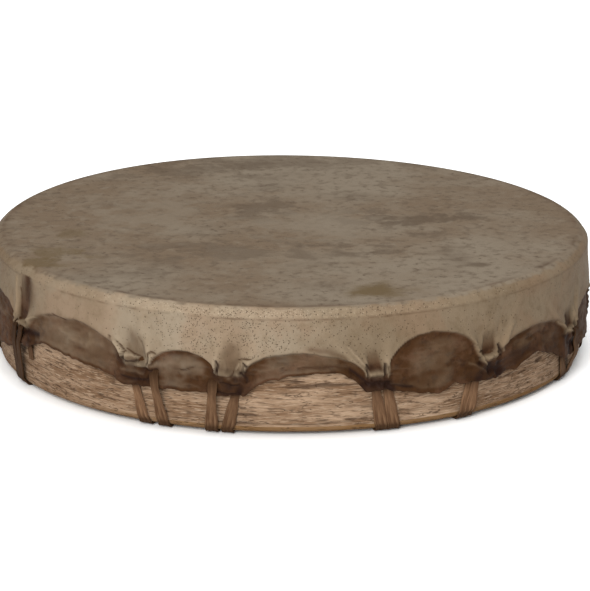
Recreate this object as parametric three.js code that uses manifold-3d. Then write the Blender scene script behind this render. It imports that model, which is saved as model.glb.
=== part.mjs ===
// A rawhide frame drum: a bent-wood hoop, one hide drawn over it, fourteen flat rawhide laces that
// pull the hide's scalloped skirt down round the hoop's lower edge, and a wound ring at the back
// that gathers the laces into a hand grip. Millimetres, +Z up, the drum standing on its laces with
// its head upwards. Azimuths are in degrees, 0 at the front (-Y) and rising towards +X.
import * as THREE from 'three';
import { mergeVertices } from 'three/addons/utils/BufferGeometryUtils.js';
import Module from 'manifold-3d';

const wasm = await Module();
wasm.setup();

// Driving dimensions.
const GAP = 0.3;                  // air between pieces that touch
const LACE_THICKNESS = 2;
const FLOOR_TO_WOOD = LACE_THICKNESS + GAP;
const WOOD_RADIUS_LOW = 198.8;    // the hoop's outer radius at its lower edge
const WOOD_RADIUS_HIGH = 200;     // and where the hide turns in over it
const WOOD_WALL = 11.5;
const LOWER_EDGE_ROUND = 4;
const INNER_EDGE_CUT = 1.5;
const HIDE_THICKNESS = 2.2;
const DRUM_HEIGHT = 83.4;         // wood's lower edge to the playing face
const SHOULDER = 6.3;             // the bevel between the playing face and the side
const WORN_DIP = 2;               // how much lower the hoop stands at the back right
const WORN_DIP_AZIMUTH = 135;

// Relief of the hide's skirt, outwards from where it would lie flat on the wood.
const SLACK = 0.4;                // least stand-off, where the hide lies flattest
const LIP_RISE = 2.6;             // taut hide standing over the top of an arch
const LIP_EDGE = 1.2;             // half the height of the step under that lip
const CURL_RISE = 2.5;            // hem curling away from the wood
const BUNCH_RISE = 1.5;           // hide gathered under a tie
const FOLD_RISE = 2;              // taut folds that fan upwards from a tie's slits
const FOLD_SPREAD = 5;
const FOLD_WIDTH = 3.4;

// Each tie: its azimuth, heights of its slits and of the hem under it above the wood's lower edge,
// how far its legs lean and stand apart (degrees), the width of a leg, and then the span that
// follows it: the top of the arch and the height of the hem half way to the next tie.
const TIES = [
  { at: -86, slit: 42, hem: 26, lean: -2, apart: 3.4, width: 8, arch: 57, swag: 23 },
  { at: -60, slit: 45, hem: 33, lean: -3.5, apart: 2.3, width: 7, arch: 60, swag: 38 },
  { at: -29, slit: 42, hem: 27, lean: 2.6, apart: 4.2, width: 7.5, arch: 53, swag: 26 },
  { at: -12, slit: 43, hem: 26, lean: -1.5, apart: 4.2, width: 7.5, arch: 54, swag: 42 },
  { at: 16, slit: 41, hem: 29, lean: 1.8, apart: 3.6, width: 7, arch: 64, swag: 23 },
  { at: 38.5, slit: 40, hem: 25, lean: -4, apart: 2.4, width: 8, arch: 50, swag: 32 },
  { at: 65.5, slit: 38, hem: 22, lean: 1.6, apart: 2.7, width: 8.3, arch: 52, swag: 25 },
  { at: 90, slit: 42, hem: 26, lean: -2, apart: 3.6, width: 7.5, arch: 56, swag: 35 },
  { at: 116, slit: 43, hem: 28, lean: 2.4, apart: 3.2, width: 8, arch: 61, swag: 25 },
  { at: 141, slit: 41, hem: 25, lean: -1.6, apart: 4, width: 7.5, arch: 52, swag: 37 },
  { at: 167, slit: 42, hem: 27, lean: 2, apart: 2.6, width: 8.5, arch: 58, swag: 27 },
  { at: 193, slit: 40, hem: 24, lean: -2.6, apart: 3.8, width: 7.5, arch: 54, swag: 38 },
  { at: 220, slit: 43, hem: 28, lean: 1.8, apart: 3.4, width: 8, arch: 62, swag: 26 },
  { at: 247, slit: 41, hem: 26, lean: -1.8, apart: 4, width: 7.5, arch: 55, swag: 34 },
];

// The back: strands run from under the hoop to a wound ring.
const RING_RADIUS = 32;
const RING_SECTION = 5;
const RING_HEIGHT = 14;
const STRAND_WIDTH = 6.4;
const GATHERED = 0.25;            // share of the strand over which its two legs draw together
const EYE_WALL = 1.8;
const EYE_SLACK = 1.4;
const EYE_WIDTH = 8;
const KNOT = { wide: 7, tall: 8, proud: 3, up: 0.45 };
const STEP_DOWN = 6;              // height in which a leg steps from the hem in to the wood

const HOOP_STEPS = 84;
const STEPS_PER_SPAN = 10;
const CROWDING = 0.5;             // how strongly the hide's steps crowd towards its ties
const HIDE_STEPS = STEPS_PER_SPAN * TIES.length;
const FLAT_HEAD_RADIUS = 150;

const HEAD_TOP = FLOOR_TO_WOOD + DRUM_HEIGHT;
const WOOD_TOP = HEAD_TOP - HIDE_THICKNESS - GAP;
const SIDE_TOP = DRUM_HEIGHT - SHOULDER;

const radians = THREE.MathUtils.degToRad;
const mix = THREE.MathUtils.lerp;
const clamp = THREE.MathUtils.clamp;
const hump = (distance, width) => Math.exp(-((distance / width) ** 2));

function place(azimuth, radius, height) {
  const angle = radians(azimuth);
  return new THREE.Vector3(radius * Math.sin(angle), -radius * Math.cos(angle), height);
}

function woodRadius(height) {
  return mix(WOOD_RADIUS_LOW, WOOD_RADIUS_HIGH, clamp(height / SIDE_TOP, 0, 1));
}

// Heights shrink a little towards the low side of the hoop.
function worn(azimuth, height) {
  const facing = Math.max(0, Math.cos(radians(azimuth - WORN_DIP_AZIMUTH)));
  return height * (1 - (WORN_DIP / DRUM_HEIGHT) * facing ** 2);
}

// A lathe whose every vertex is then put where shape(step, point) says, so that a profile of the
// given number of points can change on its way round.
function lathe(pointCount, steps, shape) {
  const profile = Array.from({ length: pointCount }, (_, i) => new THREE.Vector2(1, i));
  const geometry = new THREE.LatheGeometry(profile, steps);
  const position = geometry.attributes.position;
  for (let i = 0; i < position.count; i += 1) {
    const point = shape(Math.floor(i / pointCount) % steps, i % pointCount);
    position.setXYZ(i, point.x, point.y, point.z);
  }
  return geometry;
}

// The hoop, bent from one board: a wall with a rounded lower edge and a bevelled upper one.
function hoopGeometry() {
  const high = WOOD_TOP - FLOOR_TO_WOOD;
  const outline = [[WOOD_RADIUS_LOW - WOOD_WALL + INNER_EDGE_CUT, 0]];
  for (const turn of [-90, -45, 0]) {
    const angle = radians(turn);
    outline.push([
      WOOD_RADIUS_LOW - LOWER_EDGE_ROUND * (1 - Math.cos(angle)),
      LOWER_EDGE_ROUND * (1 + Math.sin(angle)),
    ]);
  }
  outline.push([WOOD_RADIUS_HIGH, high - SHOULDER]);
  outline.push([WOOD_RADIUS_HIGH - SHOULDER, high]);
  outline.push([WOOD_RADIUS_LOW - WOOD_WALL, high]);
  outline.push([WOOD_RADIUS_LOW - WOOD_WALL, INNER_EDGE_CUT]);
  outline.push(outline[0]);
  return lathe(outline.length, HOOP_STEPS, (step, point) => {
    const azimuth = (360 / HOOP_STEPS) * step;
    const [radius, height] = outline[point];
    return place(azimuth, radius, FLOOR_TO_WOOD + worn(azimuth, height));
  });
}

// Where azimuth lies among the ties: the span it is in and how far along it.
function spanAt(azimuth) {
  const turned = TIES[0].at + ((((azimuth - TIES[0].at) % 360) + 360) % 360);
  const index = TIES.findLastIndex((tie) => tie.at <= turned);
  const tie = TIES[index];
  const next = TIES[(index + 1) % TIES.length];
  const length = (((next.at - tie.at) % 360) + 360) % 360;
  return { tie, next, length, share: (turned - tie.at) / length };
}

// The skirt's hem and the line where the taut hide ends, above the wood's lower edge.
function skirtLines(azimuth) {
  const { tie, next, length, share } = spanAt(azimuth);
  const middle = Math.abs(2 * share - 1);
  const swing = 1 - middle ** 3;
  const hemAtTies = mix(tie.hem, next.hem, share);
  const slitAtTies = mix(tie.slit, next.slit, share);
  const hem = mix(hemAtTies, tie.swag, swing);
  const arch = mix(slitAtTies, tie.arch, Math.sqrt(1 - middle ** 2.4));
  const fromTie = radians(length * Math.min(share, 1 - share)) * WOOD_RADIUS_HIGH;
  return { hem, arch, slit: slitAtTies, swing, fromTie };
}

// How far the hide stands out from lying flat on the wood.
function hideRise(azimuth, height) {
  const { hem, arch, slit, swing, fromTie } = skirtLines(azimuth);
  if (height >= arch) {
    const climb = clamp((height - slit) / (SIDE_TOP - slit), 0, 1);
    const aboveArch = clamp((height - arch) / (SIDE_TOP - arch), 0, 1);
    const lip = LIP_RISE * swing * (1 - aboveArch) ** 2;
    const fold = FOLD_RISE * (1 - climb) * hump(fromTie - FOLD_SPREAD * (1 + climb), FOLD_WIDTH);
    return SLACK + lip + fold;
  }
  const low = clamp((arch - height) / (arch - hem), 0, 1);
  const curl = CURL_RISE * swing * low ** 1.5;
  const bunch = BUNCH_RISE * hump(fromTie, 2 * FOLD_SPREAD) * Math.sin(Math.PI * low);
  return SLACK + curl + bunch;
}

function hideRadius(azimuth, height) {
  return woodRadius(height) + GAP + HIDE_THICKNESS + hideRise(azimuth, height);
}

// The steps round the hide crowd towards the ties, where its folds are.
function hideAzimuth(step) {
  const tie = TIES[Math.floor(step / STEPS_PER_SPAN)];
  const { length } = spanAt(tie.at);
  const share = (step % STEPS_PER_SPAN) / STEPS_PER_SPAN;
  return tie.at + length * (share - (CROWDING * Math.sin(2 * Math.PI * share)) / (2 * Math.PI));
}

// The hide: a shell from the middle of the head's underside, down inside the skirt to the hem,
// up its outside with the arches, lips and folds, over the shoulder and back to the middle.
function hideGeometry() {
  const inside = [
    () => [0, DRUM_HEIGHT - HIDE_THICKNESS],
    () => [FLAT_HEAD_RADIUS, DRUM_HEIGHT - HIDE_THICKNESS],
    () => [WOOD_RADIUS_HIGH - SHOULDER + GAP / 2, DRUM_HEIGHT - HIDE_THICKNESS],
    (azimuth) => innerSkirt(azimuth, SIDE_TOP - HIDE_THICKNESS),
    (azimuth, lines) => innerSkirt(azimuth, mix(lines.hem, SIDE_TOP, 0.5)),
    (azimuth, lines) => innerSkirt(azimuth, lines.hem),
  ];
  const outside = [
    (azimuth, lines) => outerSkirt(azimuth, lines.hem),
    (azimuth, lines) => outerSkirt(azimuth, mix(lines.hem, lines.arch, 0.4)),
    (azimuth, lines) => outerSkirt(azimuth, lines.arch - LIP_EDGE),
    (azimuth, lines) => outerSkirt(azimuth, lines.arch + LIP_EDGE),
    (azimuth, lines) => outerSkirt(azimuth, mix(lines.arch, SIDE_TOP, 0.4)),
    (azimuth) => outerSkirt(azimuth, SIDE_TOP),
    () => [hideRadius(0, SIDE_TOP) - SHOULDER, DRUM_HEIGHT],
    () => [FLAT_HEAD_RADIUS, DRUM_HEIGHT],
    () => [0, DRUM_HEIGHT],
  ];
  const outline = [...inside, ...outside];
  return lathe(outline.length, HIDE_STEPS, (step, point) => {
    const azimuth = hideAzimuth(step);
    const [radius, height] = outline[point](azimuth, skirtLines(azimuth));
    const settled = radius > FLAT_HEAD_RADIUS ? worn(azimuth, height) : height;
    return place(azimuth, radius, FLOOR_TO_WOOD + settled);
  });
}

function outerSkirt(azimuth, height) {
  return [hideRadius(azimuth, height), height];
}

// Rawhide keeps its thickness, so where the skirt stands out its inside follows.
function innerSkirt(azimuth, height) {
  const looseness = Math.max(0, hideRise(azimuth, height) - SLACK);
  return [woodRadius(height) + GAP + looseness, height];
}

// A flat strip through stations, each { at, across, out, width, thickness }.
function strip(stations) {
  const last = stations.length - 1;
  const geometry = new THREE.BoxGeometry(1, 1, 1, last, 1, 1);
  const position = geometry.attributes.position;
  for (let i = 0; i < position.count; i += 1) {
    const station = stations[Math.round((position.getX(i) + 0.5) * last)];
    const point = station.at.clone();
    point.addScaledVector(station.across, station.width * position.getY(i));
    point.addScaledVector(station.out, station.thickness * position.getZ(i));
    position.setXYZ(i, point.x, point.y, point.z);
  }
  return geometry;
}

// What a tie has to pass over: the hide's crest between two heights, and the lowest point of its
// hem, within reach (degrees) of an azimuth.
function crest(azimuth, reach, low, high) {
  const samples = [-1, -0.5, 0, 0.5, 1].flatMap((side) => [0, 0.25, 0.5, 0.75, 1].map((share) => (
    hideRadius(azimuth + side * reach, mix(low, high, share)))));
  return Math.max(...samples);
}

function lowestHem(azimuth, reach) {
  return Math.min(...[-1, 0, 1].map((side) => skirtLines(azimuth + side * reach).hem));
}

function degreesWide(width) {
  return THREE.MathUtils.radToDeg(width / WOOD_RADIUS_HIGH);
}

// One leg of a tie: from the slit down over the skirt and the wood, and round the lower edge.
function legGeometry(tie, side) {
  const half = LACE_THICKNESS / 2;
  const top = tie.at + (side * tie.apart) / 2;
  const foot = top + tie.lean;
  const reach = degreesWide(tie.width) / 2 + 1;
  const atHem = mix(foot, top, tie.hem / tie.slit);
  const hem = lowestHem(atHem, reach);
  const stations = [];
  const add = (azimuth, radius, height, facing) => stations.push({
    at: place(azimuth, radius, height),
    across: place(azimuth + 90, 1, 0),
    out: place(azimuth, Math.cos(radians(facing)), Math.sin(radians(facing))),
    width: tie.width,
    thickness: LACE_THICKNESS,
  });
  const overHide = crest(atHem, reach, hem, tie.slit + 2 * LIP_EDGE) + GAP + half;
  const onWood = WOOD_RADIUS_LOW + 3 * GAP + half;
  const downSide = [
    [tie.slit + LIP_EDGE, overHide],
    [hem, overHide],
    [hem - STEP_DOWN, onWood],
    [LOWER_EDGE_ROUND, onWood],
  ];
  for (const [height, radius] of downSide) {
    const azimuth = mix(foot, top, height / tie.slit);
    add(azimuth, radius, FLOOR_TO_WOOD + worn(azimuth, height), 0);
  }
  const edge = WOOD_RADIUS_LOW - LOWER_EDGE_ROUND;
  const diagonal = Math.SQRT1_2 * (LOWER_EDGE_ROUND + half + 1.6 * GAP);
  add(foot, edge + diagonal, FLOOR_TO_WOOD + LOWER_EDGE_ROUND - diagonal, -45);
  add(foot, edge, half, -90);
  add(foot, WOOD_RADIUS_LOW - WOOD_WALL, half, -90);
  return strip(stations);
}

// The strand: both legs' rawhide drawn together inside the hoop and led across the open back.
function strandGeometry(tie, ringAzimuth) {
  const foot = tie.at + tie.lean;
  const rim = WOOD_RADIUS_LOW - WOOD_WALL;
  const start = place(foot, rim + 1, LACE_THICKNESS / 2);
  const end = place(ringAzimuth, RING_RADIUS + RING_SECTION + EYE_SLACK, RING_HEIGHT);
  const across = place(foot + 90, 1, 0);
  const down = new THREE.Vector3(0, 0, -1);
  const legsWide = radians(tie.apart) * rim + tie.width - 1;
  const flat = { across, out: down, thickness: LACE_THICKNESS };
  return strip([
    { ...flat, at: start, width: legsWide },
    { ...flat, at: place(foot, rim - 3, LACE_THICKNESS / 2), width: legsWide },
    { ...flat, at: start.clone().lerp(end, GATHERED), width: STRAND_WIDTH },
    { ...flat, at: end, width: STRAND_WIDTH },
  ]);
}

// The eye that a lace's strand ends in, closed round the ring.
function eyeGeometry(ringAzimuth) {
  const inner = RING_SECTION + EYE_SLACK;
  const outline = new THREE.Shape().absarc(0, 0, inner + EYE_WALL, 0, 2 * Math.PI);
  outline.holes.push(new THREE.Path().absarc(0, 0, inner, 0, 2 * Math.PI, true));
  const geometry = new THREE.ExtrudeGeometry(outline, {
    depth: EYE_WIDTH,
    bevelEnabled: false,
    curveSegments: 3,
  });
  geometry.translate(0, 0, -EYE_WIDTH / 2);
  geometry.rotateX(Math.PI / 2);
  geometry.translate(RING_RADIUS, 0, RING_HEIGHT);
  geometry.rotateZ(radians(ringAzimuth - 90));
  return geometry;
}

// The lace's turn from one slit to the other, bunched into a knot that joins its legs.
function knotGeometry(tie) {
  const geometry = new THREE.SphereGeometry(1, 6, 4);
  geometry.scale(KNOT.wide, KNOT.proud, KNOT.tall);
  geometry.rotateZ(radians(tie.at));
  const height = mix(tie.hem, tie.slit, KNOT.up);
  const reach = degreesWide(KNOT.wide);
  const radius = crest(tie.at, reach, height - KNOT.tall, height + KNOT.tall) + KNOT.proud;
  const at = place(tie.at, radius, FLOOR_TO_WOOD + worn(tie.at, height));
  return geometry.translate(at.x, at.y, at.z);
}

function solid(geometry) {
  const bare = geometry.clone();
  bare.deleteAttribute('normal');
  bare.deleteAttribute('uv');
  const merged = mergeVertices(bare, 1e-4);
  return new wasm.Manifold(new wasm.Mesh({
    numProp: 3,
    vertProperties: new Float32Array(merged.attributes.position.array),
    triVerts: new Uint32Array(merged.index.array),
  }));
}

function joined(geometries) {
  const whole = geometries.map(solid).reduce((sum, next) => sum.add(next)).getMesh();
  const geometry = new THREE.BufferGeometry();
  geometry.setAttribute('position', new THREE.BufferAttribute(whole.vertProperties, 3));
  geometry.setIndex(new THREE.BufferAttribute(whole.triVerts, 1));
  geometry.computeVertexNormals();
  return geometry;
}

function laceGeometry(tie, ringAzimuth) {
  return joined([
    legGeometry(tie, -1),
    legGeometry(tie, 1),
    strandGeometry(tie, ringAzimuth),
    knotGeometry(tie),
    eyeGeometry(ringAzimuth),
  ]);
}

const hideLook = { color: 0xa8987e, roughness: 0.72, metalness: 0 };
const laceLook = { color: 0x6e5842, roughness: 0.7, metalness: 0 };
const woodLook = { color: 0x9c8068, roughness: 0.8, metalness: 0 };

const drum = new THREE.Group();

function addPiece(name, geometry, look) {
  const mesh = new THREE.Mesh(geometry, new THREE.MeshStandardMaterial(look));
  mesh.name = name;
  drum.add(mesh);
}

addPiece('hoop', hoopGeometry(), woodLook);
addPiece('drumhead', hideGeometry(), hideLook);
TIES.forEach((tie, index) => {
  const ringAzimuth = (360 / TIES.length) * (index - 3.5);
  const number = String(index + 1).padStart(2, '0');
  addPiece(`lace_${number}`, laceGeometry(tie, ringAzimuth), laceLook);
});
addPiece('hand_ring', new THREE.TorusGeometry(RING_RADIUS, RING_SECTION, 7, 24)
  .translate(0, 0, RING_HEIGHT), laceLook);

export default drum;
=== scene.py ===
import math

import bpy
import numpy as np
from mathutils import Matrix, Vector


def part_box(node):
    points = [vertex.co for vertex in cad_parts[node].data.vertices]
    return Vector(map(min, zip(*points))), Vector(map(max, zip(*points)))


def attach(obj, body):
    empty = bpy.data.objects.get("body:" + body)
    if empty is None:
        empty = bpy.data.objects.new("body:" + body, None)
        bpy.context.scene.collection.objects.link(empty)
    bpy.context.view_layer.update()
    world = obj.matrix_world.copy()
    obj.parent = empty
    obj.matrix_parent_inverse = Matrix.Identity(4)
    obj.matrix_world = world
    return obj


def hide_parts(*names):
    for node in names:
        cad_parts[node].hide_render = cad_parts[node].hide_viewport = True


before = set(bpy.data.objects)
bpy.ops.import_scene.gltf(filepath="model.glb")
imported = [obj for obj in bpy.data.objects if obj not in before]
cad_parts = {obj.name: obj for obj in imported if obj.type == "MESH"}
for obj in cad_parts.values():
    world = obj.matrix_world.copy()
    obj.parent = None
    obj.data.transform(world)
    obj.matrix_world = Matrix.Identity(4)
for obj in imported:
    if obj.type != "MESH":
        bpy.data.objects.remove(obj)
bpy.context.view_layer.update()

# ---------------------------------------------------------------------------------------------
# Studio: the drum stands on a wide white sweep under soft light from the front left, seen from
# a little above with a long lens.
# ---------------------------------------------------------------------------------------------
MM = 0.001
scene = bpy.context.scene
scene.view_settings.view_transform = "Standard"

drum_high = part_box("drumhead")[1]
DRUM_MIDDLE = Vector((0, 0, 0.044))
CAMERA_ELEVATION = math.radians(16.31)
CAMERA_DISTANCE = 2.436
FRAMED_RIGHT = 0.0033
FRAMED_LOWER = 0.0087


def aim(thing, place, target):
    thing.location = place
    thing.rotation_euler = (target - place).to_track_quat("-Z", "Y").to_euler()


camera = bpy.data.objects.new("camera", bpy.data.cameras.new("camera"))
camera.data.lens = 216.1
camera.data.clip_end = 20
view_up = Vector((0, math.sin(CAMERA_ELEVATION), math.cos(CAMERA_ELEVATION)))
view_back = Vector((0, -math.cos(CAMERA_ELEVATION), math.sin(CAMERA_ELEVATION)))
framed = DRUM_MIDDLE + Vector((FRAMED_RIGHT, 0, 0)) - view_up * FRAMED_LOWER
aim(camera, DRUM_MIDDLE + view_back * CAMERA_DISTANCE, framed)
scene.collection.objects.link(camera)
scene.camera = camera


def softbox(name, place, size, watts, colour):
    """A square area light looking at the drum."""
    light = bpy.data.lights.new(name, "AREA")
    light.size = size
    light.energy = watts
    light.color = colour
    holder = bpy.data.objects.new(name, light)
    aim(holder, Vector(place), DRUM_MIDDLE)
    scene.collection.objects.link(holder)


softbox("key_softbox", (-0.55, -2.6, 1.35), 1.6, 106, (1.0, 0.98, 0.95))
softbox("top_softbox", (0.2, 0.4, 2.6), 3.0, 84, (0.97, 0.99, 1.0))

world = bpy.data.worlds.new("studio")
world.use_nodes = True
world.node_tree.nodes["Background"].inputs["Color"].default_value = (1, 1, 1, 1)
world.node_tree.nodes["Background"].inputs["Strength"].default_value = 0.42
scene.world = world

SWEEP_HALF = 8.0
sweep_mesh = bpy.data.meshes.new("white_sweep")
sweep_mesh.from_pydata(
    [(x * SWEEP_HALF, y * SWEEP_HALF, 0) for x, y in ((-1, -1), (1, -1), (1, 1), (-1, 1))],
    [], [(0, 1, 2, 3)])
sweep = bpy.data.objects.new("white_sweep", sweep_mesh)
scene.collection.objects.link(sweep)
sweep_paint = bpy.data.materials.new("sweep_paint")
sweep_paint.use_nodes = True
sweep_paint.node_tree.nodes["Principled BSDF"].inputs["Base Color"].default_value = (0.94, 0.94, 0.94, 1)
sweep_paint.node_tree.nodes["Principled BSDF"].inputs["Roughness"].default_value = 0.9
sweep_mesh.materials.append(sweep_paint)

# ---------------------------------------------------------------------------------------------
# Drumhead: one hide, soaked, drawn over the hoop and laced while wet. It has dried drum-tight
# over the shoulder, with folds that fan up from each pair of slits, while its skirt has slumped
# into dark slack arches between the ties and bunched up under them.
# ---------------------------------------------------------------------------------------------
GAP = 0.3
FLOOR_TO_WOOD = 2.3
WOOD_RADIUS_LOW = 198.8
WOOD_RADIUS_HIGH = 200.0
HIDE_THICKNESS = 2.2
HEM_THICKNESS = 1.5
DRUM_HEIGHT = drum_high.z / MM - FLOOR_TO_WOOD
SHOULDER = 6.3
SIDE_TOP = DRUM_HEIGHT - SHOULDER
WORN_DIP = 2.0
WORN_DIP_AZIMUTH = 135

# Every tie. Azimuths in degrees, 0 at the front and rising to the right; heights in mm above the
# wood's lower edge. The two slits are `apart` degrees from each other and the legs' feet `close`;
# the feet lie `lean` degrees to the right of the slits. Round the slits: how far the folds on the
# left and right lean outward for each mm they climb, how `hollow` and `tall` the sunk place
# between them is and how it leans (`skew`), how bright the painted highlight on the `bridge` of hide
# between the slits is, and how black the `bunch` under them is.
TIE_SIZES = ("at", "slit", "hem", "lean", "apart", "close", "width",
             "left", "right", "hollow", "tall", "skew", "bridge", "bunch")
TIE_ROWS = [
    (-86, 42, 25, -2, 3.4, 3, 8, 0.5, 0.4, 0.8, 22, 0.1, 0.6, 0.8),
    (-60, 45, 31, -3.5, 4.4, 2, 6.4, 0.05, 0.12, 1, 44, 0.1, 0.3, 0.95),
    (-29, 42, 26, 3.1, 5, 3.9, 7.5, 0.3, -0.15, 0.5, 24, -0.12, 0, 0.6),
    (-10.9, 42, 26, -2.2, 4.7, 3, 7.5, -0.1, 0.35, 0.55, 22, 0.12, 0.1, 0.85),
    (15.6, 40, 28, 2.6, 3.3, 2.35, 8, 0.9, 0, 1, 17, -0.22, 0.5, 1),
    (39.1, 40, 24, -4.7, 4.3, 1, 8, 0.45, 0.6, 1, 18, 0, 0.5, 1),
    (65.8, 36, 17, 1, 4.6, 2.6, 8.3, 1, 0.3, 1, 16, -0.2, 0.5, 0.9),
    (90, 42, 26, -2, 3.6, 3.2, 7.5, 0.5, 0.3, 0.8, 24, 0.1, 0.6, 0.8),
    (116, 43, 28, 2.4, 3.2, 3.4, 8, 0.6, 0.5, 0.9, 20, -0.3, 0.9, 0.9),
    (141, 41, 25, -1.6, 4, 3, 7.5, 0.3, 0.4, 0.6, 26, 0.1, 0.3, 0.7),
    (167, 42, 27, 2, 2.9, 2.6, 8.5, 0.7, 0.2, 1, 30, 0, 0.8, 0.9),
    (193, 40, 24, -2.6, 3.8, 2.8, 7.5, 0.3, 0.7, 0.5, 20, 0.2, 0.2, 0.7),
    (220, 43, 28, 1.8, 3.4, 3.4, 8, 0.5, 0.4, 0.9, 24, -0.2, 0.9, 0.9),
    (247, 41, 26, -1.8, 4, 3, 7.5, 0.4, 0.2, 0.7, 22, 0.1, 0.5, 0.8),
]
TIES = [dict(zip(TIE_SIZES, row)) for row in TIE_ROWS]

# The span after each tie: the height of its arch and of the highest or lowest place of its hem,
# each with the share of the span at which it comes; how full the hem's swing is; how brown the
# slack hide is, and how gently the arch's edge fades (mm).
SPAN_SIZES = ("arch", "arch_at", "swag", "swag_at", "full", "dark", "soft")
SPAN_ROWS = [
    (57, 0.6, 21, 0.5, 3, 1.12, 2),
    (60, 0.52, 38, 0.22, 1.3, 0.74, 3.6),
    (52.5, 0.5, 27, 0.3, 2, 0.8, 0.9),
    (54, 0.38, 42, 0.62, 3, 0.8, 2.2),
    (63, 0.46, 22.5, 0.55, 1.6, 0.86, 1.4),
    (50, 0.45, 31, 0.48, 1.5, 0.98, 3.4),
    (48, 0.4, 17, 0.45, 2, 1.02, 2.5),
    (56, 0.5, 35, 0.55, 2.5, 0.8, 1.8),
    (61, 0.45, 25, 0.5, 2, 0.75, 1.5),
    (52, 0.55, 37, 0.4, 3, 0.7, 2.5),
    (58, 0.5, 27, 0.5, 2, 0.8, 1.5),
    (54, 0.42, 38, 0.6, 2.5, 0.65, 3),
    (62, 0.5, 26, 0.45, 2, 0.85, 1.5),
    (55, 0.55, 34, 0.5, 2.5, 0.8, 2),
]
SPANS = [dict(zip(SPAN_SIZES, row)) for row in SPAN_ROWS]
TIE_AT = np.array([tie["at"] for tie in TIES], float)
SPAN = np.diff(np.append(TIE_AT, TIE_AT[0] + 360))
MM_PER_DEGREE = math.radians(1) * WOOD_RADIUS_HIGH

# Nicks and tongues in the hem: azimuth, half width in degrees, and height they add in mm.
HEM_NICKS = [(25.7, 0.30, 1.2), (31.3, 1.6, 4.0), (28.0, 1.0, -1.5), (-2.2, 0.5, -1.2),
             (46.2, 0.8, -3.0), (51.5, 1.2, 1.5), (-43.8, 0.6, -1.5), (128, 1.0, 3.0), (205, 1.5, 2.5)]
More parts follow.
